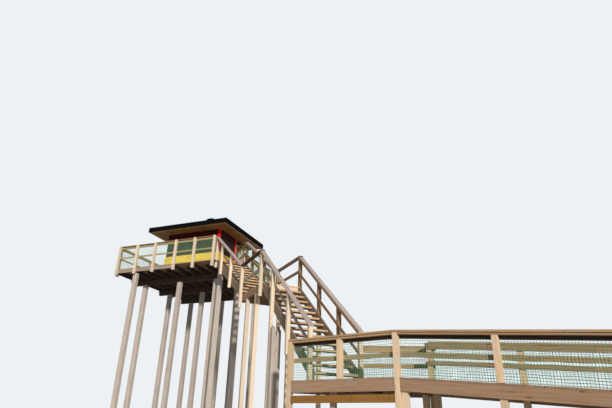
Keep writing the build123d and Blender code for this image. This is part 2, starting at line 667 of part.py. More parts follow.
def boardwalk():
    half = WALK_POST / 2
    ramp_end = RAMP_LENGTH + WALK_EDGE
    plan = [(-PLATFORM_LENGTH, 0), (0, 0), (0, WALK_WIDTH), (RAMP_LENGTH, 0), (RAMP_LENGTH, WALK_WIDTH)]
    top = WALK_RAIL_HEIGHT - WALK_CAP_THICK
    mains = []
    for a, b in plan:
        outline = [(a - half, 0), (a + half, 0), (a + half, walk_level(a + half) + top),
                   (a, walk_level(a) + top), (a - half, walk_level(a - half) + top)]
        mains.append(WALK.plate(outline, b - half, b + half))
    standing = fused(mains)

    outline = platform_outline()
    under = PLATFORM_TOP - BOARD
    low = PLATFORM_TOP - WALK_FASCIA_DEPTH
    joist_low = under - WALK_JOIST_DEPTH
    write("platform_boards", [WALK.slab(outline, under, PLATFORM_TOP) - standing])
    inner = inset(outline, WALK_FASCIA)
    rim = WALK.slab(outline, low, under) - WALK.slab(inner, low, under)
    edges = list((rim - standing).solids())
    core = WALK.slab(inner, joist_low, under) - standing
    places = spread(inner[0][0] + WALK_POST, inner[1][0] - WALK_POST, PLATFORM_BAY / 2)
    joists = [WALK.block(a, a + WALK_JOIST, -WALK_EDGE, PLATFORM_BACK, joist_low, under) & core
              for a in places]
    beam_top = low - LOWER_BEAM_GAP
    joists.append(WALK.block(-PLATFORM_LENGTH + half, -half, -WALK_EDGE, LOWER_BEAM_WIDTH - WALK_EDGE,
                             beam_top - LOWER_BEAM_DEPTH, beam_top))

    boards = strip(WALK, walk_level, 0, ramp_end, -BOARD, 0, -WALK_EDGE, FAR_EDGE)
    write("ramp_boards", [boards - standing])
    inside = (WALK_FASCIA - WALK_EDGE, FAR_EDGE - WALK_FASCIA)
    for b0, b1 in ((-WALK_EDGE, inside[0]), (inside[1], FAR_EDGE)):
        edges.append(strip(WALK, walk_level, 0, ramp_end, -WALK_FASCIA_DEPTH, -BOARD, b0, b1) - standing)
    write("boardwalk_edge_boards", edges)

    # Short legs stand under the ramp's cross beams and the platform's joists.
    legs = list(mains)
    for i in range(RAMP_BAYS + 1):
        a = i * RAMP_BAY + (LEG if i == 0 else -LEG if i == RAMP_BAYS else 0)
        reach = (a - LEG / 2, a + LEG / 2)
        beam_low = BOARD + WALK_JOIST_DEPTH
        joists.append(strip(WALK, walk_level, *reach, -beam_low, -BOARD, *inside))
        for b in (inside[0] + LEG / 2, inside[1] - LEG / 2):
            outline = [(reach[0], 0), (reach[1], 0), (reach[1], walk_level(reach[1]) - beam_low),
                       (reach[0], walk_level(reach[0]) - beam_low)]
            legs.append(WALK.plate(outline, b - LEG / 2, b + LEG / 2))
    write("boardwalk_joists", joists)
    for a, b in ((places[1], PLATFORM_LEG_BACK), (places[-1], WALK_WIDTH - WALK_POST)):
        legs.append(WALK.column(a + WALK_JOIST / 2, b, LEG, 0, joist_low))
    write("boardwalk_posts", legs)

    railings = [walk_railing(WALK, walk_level, -PLATFORM_LENGTH - WALK_EDGE, 0, [-PLATFORM_BAY], 0, 1,
                             [-PLATFORM_LENGTH, 0])]
    middle = [(i + 1) * RAMP_BAY for i in range(RAMP_BAYS - 1)]
    gaps = [0, RAMP_LENGTH]
    write("ramp_railings", [walk_railing(WALK, walk_level, 0, ramp_end, middle, line, inner, gaps)
                            for line, inner in ((0, 1), (WALK_WIDTH, -1))])

    # Two railings meet at the platform's back corner, and the second one ends at the ramp's.
    line = [WALK.point(*point) for point in inset(platform_outline(), WALK_EDGE)]
    first, length = between(line[4], line[3])
    corner, rest = between(line[3], line[2])
    far = walk_railing(first, platform_level, 0, length, [half, length / 2], 0, -1, [])
    back = walk_railing(corner, platform_level, 0, rest, [0, rest - WALK_POST], 0, -1, [])
    inner_side = half + RAIL_THICK + WALK_CAP_OVER + RAIL_JOINT
    far -= corner.block(-length, length, -inner_side, length, 0, DECK_TOP)
    reach = WALK_WIDTH + half + WALK_CAP_OVER
    back -= WALK.block(-PLATFORM_LENGTH, RAMP_LENGTH, -reach, reach, 0, DECK_TOP)
    write("platform_railings", railings + [far, back])


def platform_level(a):
    return PLATFORM_TOP


def inset(outline, distance):
    """The outline moved in by a distance on every side; its points run anticlockwise."""
    count = len(outline)
    lines = []
    for i in range(count):
        (x0, y0), (x1, y1) = outline[i], outline[(i + 1) % count]
        length = math.hypot(x1 - x0, y1 - y0)
        nx, ny = -(y1 - y0) / length, (x1 - x0) / length
        lines.append((x0 + nx * distance, y0 + ny * distance, x1 - x0, y1 - y0))
    points = []
    for i in range(count):
        x0, y0, dx0, dy0 = lines[i - 1]
        x1, y1, dx1, dy1 = lines[i]
        t = ((x1 - x0) * dy1 - (y1 - y0) * dx1) / (dx0 * dy1 - dy0 * dx1)
        points.append((x0 + t * dx0, y0 + t * dy0))
    return points


if __name__ == "__main__":
    os.makedirs("parts", exist_ok=True)
    deck()
    deck_railings()
    stair()
    landing()
    stair_railings()
    stair_legs()
    hut()
    roof()
    boardwalk()
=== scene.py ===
import json
import math

import bpy
import numpy as np
from bpy.props import FloatProperty, FloatVectorProperty, IntProperty, PointerProperty
from mathutils import Matrix, Vector

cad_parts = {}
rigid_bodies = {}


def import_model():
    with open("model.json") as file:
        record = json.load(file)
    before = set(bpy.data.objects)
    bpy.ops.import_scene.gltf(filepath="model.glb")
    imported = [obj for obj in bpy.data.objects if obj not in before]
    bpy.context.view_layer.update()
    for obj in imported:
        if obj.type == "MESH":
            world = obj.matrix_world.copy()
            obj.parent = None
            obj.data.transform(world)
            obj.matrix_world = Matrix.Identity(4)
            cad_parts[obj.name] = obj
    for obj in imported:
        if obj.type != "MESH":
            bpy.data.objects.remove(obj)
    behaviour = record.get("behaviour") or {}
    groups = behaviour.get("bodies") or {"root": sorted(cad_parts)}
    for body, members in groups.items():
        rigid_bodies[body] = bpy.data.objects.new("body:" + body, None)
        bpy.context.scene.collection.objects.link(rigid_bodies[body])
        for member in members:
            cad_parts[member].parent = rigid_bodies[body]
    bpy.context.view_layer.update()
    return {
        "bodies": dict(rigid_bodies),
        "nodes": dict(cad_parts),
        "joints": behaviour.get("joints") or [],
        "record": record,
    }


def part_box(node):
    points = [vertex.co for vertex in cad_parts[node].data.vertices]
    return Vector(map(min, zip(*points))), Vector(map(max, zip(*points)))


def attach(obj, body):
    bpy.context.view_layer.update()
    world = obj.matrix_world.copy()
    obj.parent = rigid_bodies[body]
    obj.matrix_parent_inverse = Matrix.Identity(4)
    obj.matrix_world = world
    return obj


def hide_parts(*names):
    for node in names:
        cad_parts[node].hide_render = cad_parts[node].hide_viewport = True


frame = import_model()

bl_info = {
    "name": "Lifeguard Tower",
    "version": (1, 0, 0),
    "blender": (4, 5, 0),
    "location": "View3D > Sidebar > Tower",
    "description": "Boards, railings, hut, roof and boardwalk of a timber lifeguard tower on its CAD frame",
    "category": "Object",
}

# Sizes in metres, as the frame has them. The origin is the foot of the deck's front right pile.

# Levels
PLATFORM_TOP = 1.200
RISE = 0.203
UPPER_RISERS = 11
LOWER_RISERS = 15
LANDING_TOP = PLATFORM_TOP + LOWER_RISERS * RISE
DECK_TOP = LANDING_TOP + UPPER_RISERS * RISE

# Timber sections
BOARD = 0.035
POST = 0.100
CAP_WIDTH = 0.140
CAP_THICK = 0.040
LEFT_CAP_WIDTH = 0.090
RAIL_DEPTH = 0.090
DECK_RAIL_DEPTH = 0.065
STAIR_BATTEN = 0.070
RAIL_THICK = 0.035
JOIST_WIDTH = 0.075
JOIST_DEPTH = 0.200
GIRDER_WIDTH = 0.100
GIRDER_DEPTH = 0.225
PILE = 0.200
LEG = 0.120

# Railings on the deck and stair
RAIL_HEIGHT = 1.050
MID_RAIL_HEIGHT = 0.510
POST_TAIL = 0.290
LANDING_TAIL = 0.430
LOWER_TAIL = 0.560

# Deck
PILE_BAY = 1.870
DECK_BAY = 0.960
DECK_MID_BAY = 1.080
DECK_RIGHT = 0.610
DECK_FRONT = -1.290
DECK_LEFT = DECK_RIGHT - (4 * DECK_BAY + DECK_MID_BAY + POST)
DECK_BACK = 2 * PILE_BAY + 0.470
JOIST_RECESS = 0.420
EDGE_BOARD = 0.035
EDGE_DEPTH = 0.150
JOIST_TOP = DECK_TOP - BOARD
JOIST_BOTTOM = JOIST_TOP - JOIST_DEPTH
GIRDER_BOTTOM = JOIST_BOTTOM - GIRDER_DEPTH

# Hut
HUT_RIGHT = DECK_RIGHT - 1.065
HUT_LEFT = HUT_RIGHT - 2.870
HUT_FRONT = DECK_FRONT + 1.915
HUT_BACK = HUT_FRONT + 2.490
EAVES = DECK_TOP + 2.185
WALL = 0.060
CORNER_POST = 0.110
CORNER_PROUD = 0.015
POST_IN = CORNER_POST - CORNER_PROUD
SILL = DECK_TOP + 1.055
BAND_LOW = EAVES - 0.310
LOW_BOARD = 0.030
LOW_BOARD_LIFT = 0.012
BAND_BOARD = 0.020
SHUTTER = 0.025
SHUTTER_SUNK = 0.004
SHUTTER_BAY = 0.860
LEDGE = 0.090
LEDGE_IN = 0.010
LEDGE_PROUD = 0.006
LEDGE_LEVELS = (SILL + 0.120, BAND_LOW - 0.220)
SHUTTER_JOINT = 0.008
WINDOW_JAMB = 0.025
FLOOR_SHEET = 0.018
DOOR_BAY = 0.795
DOOR_START = HUT_BACK - POST_IN - DOOR_BAY
DOOR_HEIGHT = 1.970
DOOR_LEAF = 0.045
DOOR_FRAME = 0.055
DOOR_GAP = 0.004

# Roof
EAVES_OVER = 0.710
SOFFIT = 0.018
FASCIA_HEIGHT = 0.175
FASCIA = 0.030
ROOF_RISE = 0.880
ROOF_SHEET = 0.045

# Stair
STAIR_TURN = 47.0
STAIR_HEAD_OUT = 0.057
STAIR_HEAD_IN = 0.194
RAIL_SPACING = 1.330
UPPER_GOING = 0.348
LOWER_GOING = 0.248
LANDING_LENGTH = 2.050
TREAD = 0.050
STRINGER = 0.050
STRINGER_OVER = 0.045
STRINGER_UNDER = 0.270
TOP_NEWEL = 0.100
LANDING_NEWEL = 0.087
LOWER_NEWEL = 0.065
LANDING_RIM = 0.050
LANDING_JOIST = 0.185
LANDING_LEG_INSET = 0.600
UPPER_POSTS = [0.850, 2.240]
LOWER_POSTS_LEFT = [1.040, 2.205]
LOWER_POSTS_RIGHT = [1.340, 2.475]
OLD_PILE = 0.210
OLD_PILE_THICK = 0.270
OLD_PILE_TOP = 2.790

# Boardwalk
WALK_ANGLE = -14.4
WALK_START = (2.200, -0.175)
WALK_WIDTH = 1.720
PLATFORM_BAY = 1.300
PLATFORM_LENGTH = 2 * PLATFORM_BAY
PLATFORM_BACK = 2.525
PLATFORM_SHORT = 0.020
PLATFORM_BACK_ALONG = 0.150
PLATFORM_LEG_BACK = 0.650
STAIR_BEARING = 0.316
RAMP_BAY = 1.909
RAMP_BAYS = 3
RAMP_LENGTH = RAMP_BAYS * RAMP_BAY
RAMP_SLOPE = 0.083
WALK_RAIL_HEIGHT = 0.890
WALK_MID_RAIL_HEIGHT = 0.430
WALK_CAP_OVER = 0.008
WALK_CAP_THICK = 0.045
WALK_CAP_JOINT = 0.008
WALK_BATTEN = 0.070
WALK_POST = 0.110
WALK_EDGE = 0.045
WALK_FASCIA = 0.040
WALK_FASCIA_DEPTH = 0.250
WALK_JOIST = 0.060
WALK_JOIST_DEPTH = 0.150
LOWER_BEAM_DEPTH = 0.150
LOWER_BEAM_WIDTH = 0.060
LOWER_BEAM_GAP = 0.055
LOWER_BEAM_JOINTS = (-1.020, -0.200)
BEAM_CUT = 0.002

# Door
DOOR_STILE = 0.095
DOOR_BOTTOM_RAIL = 0.180
DOOR_LOCK_RAIL = (0.920, 1.030)
DOOR_BOARD = 0.100
DOOR_PANEL = (DOOR_GAP + 0.012, DOOR_GAP + 0.032)
DOOR_GLASS = (DOOR_GAP + 0.016, DOOR_GAP + 0.028)
# Each part of the lever, from the leaf's edge, face and foot, and the axis of its length
DOOR_LEVER = [((0.030, 0.065), (-0.006, 0), (0.950, 1.130), "z"),
              ((0.040, 0.055), (-0.045, 0), (1.050, 1.065), "b"),
              ((0.040, 0.160), (-0.045, -0.031), (1.048, 1.067), "a")]
HINGE_RADIUS = 0.012
HINGE_SUNK = 0.004
HINGE_HEIGHT = 0.100
HINGE_LOW = 0.200
HINGE_MIDDLE = 0.950
HINGE_TOP = 0.280

# Boards, felt and fixings drawn here only
TOP_BOARD = 0.115
SOFFIT_ROWS = 5
SOFFIT_SHARE = 0.193
SOFFIT_BOARD = 0.120
FELT = 0.004
FELT_LIFT = (0.006, 0.001)
FELT_LAP = 0.030
HIP_SIDE = 0.110
HIP_FALL = 0.033
HIP_LIFT = 0.004
HIP_START = 0.043
NET_LOW = 0.010
NET_LAP = 0.012
BOLT_RADIUS = 0.024
BOLT_HEIGHT = 0.014
DECK_BOLTS = (0.085, 0.200)
STAIR_BOLTS = (0.020, 0.160)

# How worn the timber is: shares of a joint's place, of a corner's radius and of the radius that a
# board's last ring is drawn in by, the rings along a board, and how the streaks stretch the grain
JOINT_WANDER = 0.22
EDGE_WANDER = 0.6
END_DRAW = 0.8
RINGS = 5
STREAKS = (1.4, 100, 100)

# Longest handrails and rail boards before a joint, and the gaps between boards
DECK_STOCK = 3.0
STAIR_STOCK = 3.4
WALK_STOCK = 3.9
EDGE_STOCK = 3.2
CUT_GAP = 0.003
PLANK_CUT_GAP = 0.004

# Stage
CAMERA_AT = (11.154, -17.742, 0.344)
CAMERA_AHEAD = (-0.368, 0.930, 0)
CAMERA_TILT = 24.5
CAMERA_ROLL = 1.32
LAMP_RUN = (-0.55, 0.80, -0.27)
FOCAL_PIXELS = 482.5
PICTURE_WIDTH = 612
SENSOR = 36
FLOOR_RADIUS = 200.0
FLOOR_CENTRE = (5, -3)
FLOOR_TOP = -0.002


def linear(code):
    """An sRGB hex colour as linear red, green, blue and 1."""
    parts = [int(code[i:i + 2], 16) / 255 for i in (1, 3, 5)]
    return [c / 12.92 if c <= 0.04045 else ((c + 0.055) / 1.055) ** 2.4 for c in parts] + [1.0]


def deeper(colour, share):
    """The colour at a share of its brightness, drifting to orange as shaded wood does."""
    return [colour[0] * share, colour[1] * share ** 1.12, colour[2] * share ** 1.3, 1.0]


def silvered(colour, share, brightness):
    """The colour drawn by the share towards its own grey, at the brightness."""
    grey = 0.3 * colour[0] + 0.59 * colour[1] + 0.11 * colour[2]
    return [(c + (grey - c) * share) * brightness for c in colour[:3]] + [1.0]


class Place:
    """An upright frame on the plan: a point and the direction of its first axis."""

    def __init__(self, x, y, angle):
        self.x, self.y, self.angle = x, y, angle
        self.cos, self.sin = math.cos(math.radians(angle)), math.sin(math.radians(angle))

    def point(self, a, b):
        """The plan point at a along and b across."""
        return (self.x + a * self.cos - b * self.sin, self.y + a * self.sin + b * self.cos)

    def local(self, x, y):
        """How far along and across the plan point lies."""
        dx, dy = x - self.x, y - self.y
        return (dx * self.cos + dy * self.sin, -dx * self.sin + dy * self.cos)

    def world(self, a, b, z):
        """Local arrays of along, across and level as points, the last axis holding x, y, z."""
        a, b, z = np.broadcast_arrays(a, b, z)
        x, y = self.point(np.asarray(a, float), np.asarray(b, float))
        return np.stack([x, y, z], -1)


def between(p, q):
    """A frame whose first axis runs from the plan point p to q, and the distance."""
    return Place(p[0], p[1], math.degrees(math.atan2(q[1] - p[1], q[0] - p[0]))), math.dist(p, q)


def spread(start, end, bay):
    """Even places from start to end, about one bay apart."""
    return np.linspace(start, end, max(1, round((end - start) / bay)) + 1)


HUT = Place(0, 0, 0)
DEPTH = Place(0, 0, 90)
HALF_EDGE = (RAIL_SPACING - POST) / 2
HALF_SPACING = RAIL_SPACING / 2
STAIR_HEAD = Place(DECK_RIGHT + STAIR_HEAD_OUT, DECK_FRONT + STAIR_HEAD_IN, STAIR_TURN)
STAIR = Place(*STAIR_HEAD.point(HALF_EDGE, 0), STAIR_TURN - 90)
WING_FAR = STAIR_HEAD.point(2 * HALF_EDGE, 0)
WING_BACK = (DECK_RIGHT, WING_FAR[1] + (WING_FAR[0] - DECK_RIGHT) / math.tan(math.radians(STAIR_TURN)))
LANDING_BACK = (UPPER_RISERS - 1) * UPPER_GOING
LANDING_FRONT = LANDING_BACK + LANDING_LENGTH
STAIR_FOOT = LANDING_FRONT + (LOWER_RISERS - 1) * LOWER_GOING
LANDING_UNDER = LANDING_TOP - BOARD - LANDING_JOIST
BACK_NEWEL = LANDING_BACK + LANDING_NEWEL
FRONT_NEWEL = LANDING_FRONT - LANDING_NEWEL
FOOT_NEWEL = STAIR_FOOT - LOWER_NEWEL
FOOT = STAIR.point(FOOT_NEWEL, -HALF_SPACING)
WALK = Place(*Place(*FOOT, WALK_ANGLE).point(*WALK_START), WALK_ANGLE)
FAR_EDGE = WALK_WIDTH + WALK_EDGE


def level_line(start, end):
    """A straight slope between two (place, level) points, as a function of the place."""
    (a0, z0), (a1, z1) = start, end
    return lambda a: z0 + (z1 - z0) * (np.asarray(a, float) - a0) / (a1 - a0)


def flat(level):
    """A line that stays at the level, as a function of the place."""
    return lambda a: level + 0 * np.asarray(a, float)


deck_level = flat(DECK_TOP)
landing_level = flat(LANDING_TOP)
platform_level = flat(PLATFORM_TOP)
upper_line = level_line((-TOP_NEWEL, DECK_TOP), (BACK_NEWEL, LANDING_TOP))
lower_line = level_line((FRONT_NEWEL, LANDING_TOP), (FOOT_NEWEL, PLATFORM_TOP + RISE))
upper_nosing = level_line((0, DECK_TOP), (UPPER_GOING, DECK_TOP - RISE))
lower_nosing = level_line((LANDING_FRONT, LANDING_TOP), (LANDING_FRONT + LOWER_GOING, LANDING_TOP - RISE))


def walk_level(u):
    """Top of the boardwalk's boards: level on the platform, falling along the ramp."""
    return PLATFORM_TOP - RAMP_SLOPE * np.maximum(u, 0)


# Meshes

def make(name, points, faces, look, slot, nodes=(), **attributes):
    """One object from arrays: points (..., 3), faces as arrays of the same corner count each, and
    attributes as arrays of one number or one vector a point. It rides on the root body."""
    mesh = bpy.data.meshes.new(name)
    points = np.asarray(points, float).reshape(-1, 3)
    mesh.vertices.add(len(points))
    mesh.vertices.foreach_set("co", points.ravel())
    loops = np.concatenate([f.ravel() for f in faces])
    counts = np.concatenate([np.full(len(f), f.shape[1]) for f in faces])
    mesh.loops.add(len(loops))
    mesh.loops.foreach_set("vertex_index", loops.astype(np.int32))
    mesh.polygons.add(len(counts))
    mesh.polygons.foreach_set("loop_start", (np.cumsum(counts) - counts).astype(np.int32))
    mesh.update(calc_edges=True)
    for key, values in attributes.items():
        kind, field = ("FLOAT_VECTOR", "vector") if values.ndim == 2 else ("FLOAT", "value")
        mesh.attributes.new(key, kind, "POINT").data.foreach_set(field, values.ravel())
    mesh.materials.append(finish(look))
    mesh.polygons.foreach_set("use_smooth", np.zeros(len(counts), bool))
    mesh.validate()
    piece = bpy.data.objects.new(name, mesh)
    bpy.context.scene.collection.objects.link(piece)
    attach(piece, "root")
    if nodes:
        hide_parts(*nodes)


def tubes(count, rows, around, first=0):
    """Side faces and end faces of tubes. Their points are numbered from first on: round each ring,
    then from ring to ring, then from tube to tube."""
    base = first + np.arange(count)[:, None, None] * rows * around
    i = np.arange(rows - 1)[None, :, None] * around
    j = np.arange(around)[None, None]
    k = (j + 1) % around
    sides = np.stack([base + i + j, base + i + k, base + i + around + k, base + i + around + j], -1)
    ends = np.concatenate([base[:, 0] + j[0, :, ::-1], base[:, 0] + (rows - 1) * around + j[0]])
    return [sides.reshape(-1, 4), ends]


def unit(vectors):
    """The vectors at length 1."""
    return vectors / np.linalg.norm(vectors, axis=-1, keepdims=True)


def corners(place, a, b, z):
    """Rectangles (n, 4, 3), given four values each of along, across and level."""
    return np.stack([place.world(*corner) for corner in zip(a, b, z)], 1)


def bars(place, a, b, z, along="a"):
    """Straight boards as corners (n, 2, 4, 3). a, b and z are (low, high) pairs of numbers or
    arrays, and the grain runs along the named axis."""
    low, high = [np.broadcast_arrays(*(np.atleast_1d(np.asarray(pair[i], float)) for pair in (a, b, z)))
                 for i in (0, 1)]
    axis = "abz".index(along)
    u, v = [i for i in range(3) if i != axis]
    ends = []
    for end in (low, high):
        parts = [None] * 3
        parts[axis] = [end[axis]] * 4
        parts[u], parts[v] = (low[u], high[u], high[u], low[u]), (low[v], low[v], high[v], high[v])
        ends.append(corners(place, *parts))
    return np.stack(ends, 1)


def strips(place, level, a0, a1, low, high, b0, b1):
    """Boards that follow a level line from a0 to a1, low to high above it, with plumb ends."""
    a0, a1, low, high, b0, b1 = np.broadcast_arrays(*map(np.atleast_1d, (a0, a1, low, high, b0, b1)))
    return np.stack([corners(place, [a] * 4, (b0, b1, b1, b0), level(a) + np.stack([low, low, high, high]))
                     for a in (a0, a1)], 1)


def uprights(place, a, b, side, foot, top):
    """Posts with a square foot at the level foot; top is a function of the place along the run."""
    a, b, foot = np.broadcast_arrays(*map(np.atleast_1d, (a, b, foot)))
    half = side / 2
    a, b = a + [[-half], [half], [half], [-half]], b + [[-half], [-half], [half], [half]]
    return np.stack([corners(place, a, b, z) for z in (foot + 0 * a, top(a))], 1)


def crosswise(place, level, a0, a1, low, high, b0, b1):
    """Boards that run across a slope from b0 to b1, each tilted with it, low to high above it."""
    z0, z1 = level(a0), level(a1)
    return np.stack([corners(place, (a0, a1, a1, a0), [b] * 4, (z0 + low, z1 + low, z1 + high, z0 + high))
                     for b in (b0, b1)], 1)


def planks(place, b0, b1, start, end, z0, z1):
    """Planks along the first axis, between the sides b0 and b1, whose ends follow the functions
    start(b) and end(b), so that a slanting edge cuts them on the slant."""
    return np.stack([corners(place, (line(b0), line(b1), line(b1), line(b0)), (b0, b1, b1, b0),
                             (z0, z0, z1, z1)) for line in (start, end)], 1)


def plank_rows(start, end, width, gap):
    """Sides (low, high) of planks laid side by side from start to end, near the width and gap."""
    count = round((end - start + gap) / (width + gap))
    pitch = (end - start + gap) / count
    low = start + np.arange(count) * pitch
    return low, low + pitch - gap


def cut(boards, lengths, gap, seed):
    """Each board cut across into pieces no longer than about lengths, with a gap at each joint."""
    rng = np.random.default_rng(seed)
    boards = np.concatenate(boards) if isinstance(boards, list) else boards
    done = []
    span = np.linalg.norm(boards[:, 1].mean(1) - boards[:, 0].mean(1), axis=1)
    counts = np.maximum(1, np.ceil(span / lengths).astype(int))
    for count in np.unique(counts):
        group = boards[counts == count]
        marks = np.linspace(0, 1, count + 1)[None] + np.zeros((len(group), 1))
        marks[:, 1:-1] += rng.uniform(-JOINT_WANDER, JOINT_WANDER, (len(group), count - 1)) / count
        share = gap / 2 / span[counts == count]
        for i in range(count):
            t0 = marks[:, i] + (share if i else 0)
            t1 = marks[:, i + 1] - (share if i < count - 1 else 0)
            ends = [group[:, 0] + (group[:, 1] - group[:, 0]) * t[:, None, None] for t in (t0, t1)]
            done.append(np.stack(ends, 1))
    return np.concatenate(done)


def timber(name, boards, look, slot, nodes, radius, bow=0.0015, seed=1):
    """Boards as one mesh. A rectangle with rounded corners, twelve points round, is carried in a
    straight line from each board's start face to its end face: the point at (u, v, t) is the
    start's corners weighted by (1-u)(1-v), u(1-v), uv and (1-u)v, moved by t towards the end's.
    The corner radius wanders along each edge, the middle bows by bow times the sine of half a
    turn of t, and the last ring at each end is drawn in by a share of the radius. The grain
    attribute holds metres along, across and through the log the board was sawn from, board
    holds one random number a board, and cut is 1 on the sawn ends."""
    rng = np.random.default_rng(seed)
    boards = np.concatenate(boards) if isinstance(boards, list) else boards
    count = len(boards)
    middle = boards.mean(2)
    run = middle[:, 1] - middle[:, 0]
    side_u, side_v = boards[:, 0, 1] - boards[:, 0, 0], boards[:, 0, 3] - boards[:, 0, 0]
    wrong = np.einsum("ij,ij->i", np.cross(side_u, side_v), run) < 0
    boards = np.where(wrong[:, None, None, None], boards[:, :, [0, 3, 2, 1]], boards)
    side_u, side_v = boards[:, 0, 1] - boards[:, 0, 0], boards[:, 0, 3] - boards[:, 0, 0]
    length, wide, thick = (np.linalg.norm(v, axis=1)[:, None, None] for v in (run, side_u, side_v))

    angle = np.radians([180, 225, 270, 270, 315, 360, 0, 45, 90, 90, 135, 180])
    corner_u, corner_v = np.repeat([[0, 1, 1, 0], [0, 0, 1, 1]], 3, axis=1)
    worn = 1 + rng.uniform(-EDGE_WANDER, EDGE_WANDER, (count, RINGS, 12))
    ends = np.zeros(RINGS)
    ends[[0, -1]] = 1
    limit = 0.45 / (1 + EDGE_WANDER)
    soft_u, soft_v = (np.minimum(radius / side, limit) * worn for side in (wide, thick))
    draw = 2 * END_DRAW * ends[:, None]
    u = corner_u * (1 - 2 * soft_u) + soft_u * (1 + np.cos(angle)) - 0.5
    v = corner_v * (1 - 2 * soft_v) + soft_v * (1 + np.sin(angle)) - 0.5
    u = 0.5 + u * (1 - draw * (radius / wide))
    v = 0.5 + v * (1 - draw * np.minimum(radius / thick, 0.3))
    edge = np.minimum(radius / length, 0.05)[:, 0]
    inner = np.linspace(0, 1, RINGS - 2)[None] * (1 - 2 * edge) + edge
    t = np.concatenate([np.zeros((count, 1)), inner, np.ones((count, 1))], 1)[..., None] + 0 * u

    weight = np.stack([(1 - u) * (1 - v), u * (1 - v), u * v, (1 - u) * v], -1)
    start, end = (np.einsum("nstk,nkc->nstc", weight, boards[:, i]) for i in (0, 1))
    points = start + (end - start) * t[..., None]
    lean = rng.uniform(-1, 1, (count, 2)) * bow * np.minimum(length[:, 0] / 2, 1)
    sway = lean[:, :1] * side_u / wide[:, 0] + lean[:, 1:] * side_v / thick[:, 0]
    points += np.sin(np.pi * t)[..., None] * sway[:, None, None]

    off, turn = rng.uniform(0.03, 0.13, (count, 1, 1)), rng.uniform(0, 2 * np.pi, (count, 1, 1))
    grain = np.stack([t * length + rng.uniform(0, 60, (count, 1, 1)), (u - 0.5) * wide + off * np.cos(turn),
                      (v - 0.5) * thick + off * np.sin(turn)], -1)
    make(name, points, tubes(count, RINGS, 12), look, slot, nodes, grain=grain.reshape(-1, 3),
         board=np.repeat(rng.random(count), RINGS * 12), cut=(ends[None, :, None] + 0 * u).ravel())


def weathered_piles(name, centres, halves, angles, tops, ragged, look, slot, nodes, seed):
    """Old piles. Round each pile the outline is a square with soft corners: the half side over
    the seventh root of the summed seventh powers of cosine and sine, less narrow grooves that
    wander as they climb. Up it, the height runs from 0 to the top, lowered at each angle between
    the splinters of a ragged pile, and the last rings close over the top towards the middle."""
    rng = np.random.default_rng(seed)
    count, around, up, inside = len(centres), 72, 34, 5
    theta = np.linspace(0, 2 * np.pi, around, endpoint=False)
    climb = np.linspace(0, 1, up)
    cos, sin = np.cos(theta), np.sin(theta)
    square = (np.abs(cos) ** 7 + np.abs(sin) ** 7) ** (-1 / 7)
    groove = np.zeros((count, up, around))
    for _ in range(9):
        place = rng.uniform(0, 2 * np.pi, count)[:, None] + 0.16 * np.sin(
            climb * rng.uniform(3, 9, count)[:, None] + rng.uniform(0, 6, count)[:, None])
        off = (theta[None, None] - place[..., None] + np.pi) % (2 * np.pi) - np.pi
        depth = rng.uniform(0.02, 0.085, count)[:, None] * (0.45 + 0.55 * np.sin(
            climb * rng.uniform(4, 14, count)[:, None] + rng.uniform(0, 6, count)[:, None]) ** 2)
        groove += depth[..., None] * np.exp(-(off / rng.uniform(0.03, 0.07)) ** 2)
    size = 1 - groove - 0.03 * np.abs(rng.standard_normal((count, 1, around)))
    splinter = np.abs(rng.standard_normal((count, around)))
    splinter = (splinter + np.roll(splinter, 1, 1) + np.roll(splinter, 2, 1)) / 3
    ragged = np.asarray(ragged, float)[:, None]
    high = np.asarray(tops, float)[:, None] - np.minimum(
        ragged * (0.10 * splinter + 0.09 * (1 + np.sin(theta * 2 + 1))), 0.34)
    z = climb[None, :, None] * high[:, None, :]
    x, y = (size * rim * square * np.asarray(halves)[:, i, None, None] for i, rim in enumerate((cos, sin)))
    shrink = np.linspace(1, 0, inside + 1)[1:-1, None]
    dip = ragged * 0.05 * np.abs(rng.standard_normal((count, around)))
    over = (shrink * x[:, -1:], shrink * y[:, -1:], z[:, -1:] - (1 - shrink) * dip[:, None])
    x, y, z = (np.concatenate(pair, 1) for pair in zip((x, y, z), over))
    rows = x.shape[1]
    turn = np.radians(angles)[:, None, None]
    middle_x, middle_y = np.asarray(centres, float).T[..., None, None]
    points = np.stack([middle_x + x * np.cos(turn) - y * np.sin(turn),
                       middle_y + x * np.sin(turn) + y * np.cos(turn), z], -1)
    grain = np.stack([z + rng.uniform(0, 40, count)[:, None, None], x, y], -1)
    sawn = np.zeros((count, rows, around))
    sawn[:, up:] = 1
    make(name, points, tubes(count, rows, around), look, slot, nodes, grain=grain.reshape(-1, 3),
         board=np.repeat(rng.random(count), rows * around), cut=sawn.ravel())


def carried(name, profile, path, look, slot):
    """A closed profile of (side, up) points carried along a straight path from its first to its
    last point, side lying level and square to the run, with flat ends."""
    path, profile = np.asarray(path, float), np.asarray(profile, float)
    run = path[-1] - path[0]
    level = unit(np.cross(run, (0, 0, 1)))
    up = unit(np.cross(level, run))
    points = path[:, None] + profile[None, :, :1] * level + profile[None, :, 1:] * up
    along = np.linspace(0, np.linalg.norm(run), len(path))
    grain = np.stack(np.broadcast_arrays(along[:, None], *profile.T), -1).reshape(-1, 3)
    make(name, points, tubes(1, len(path), len(profile)), look, slot, grain=grain,
         board=np.full(len(grain), 0.5), cut=np.zeros(len(grain)))


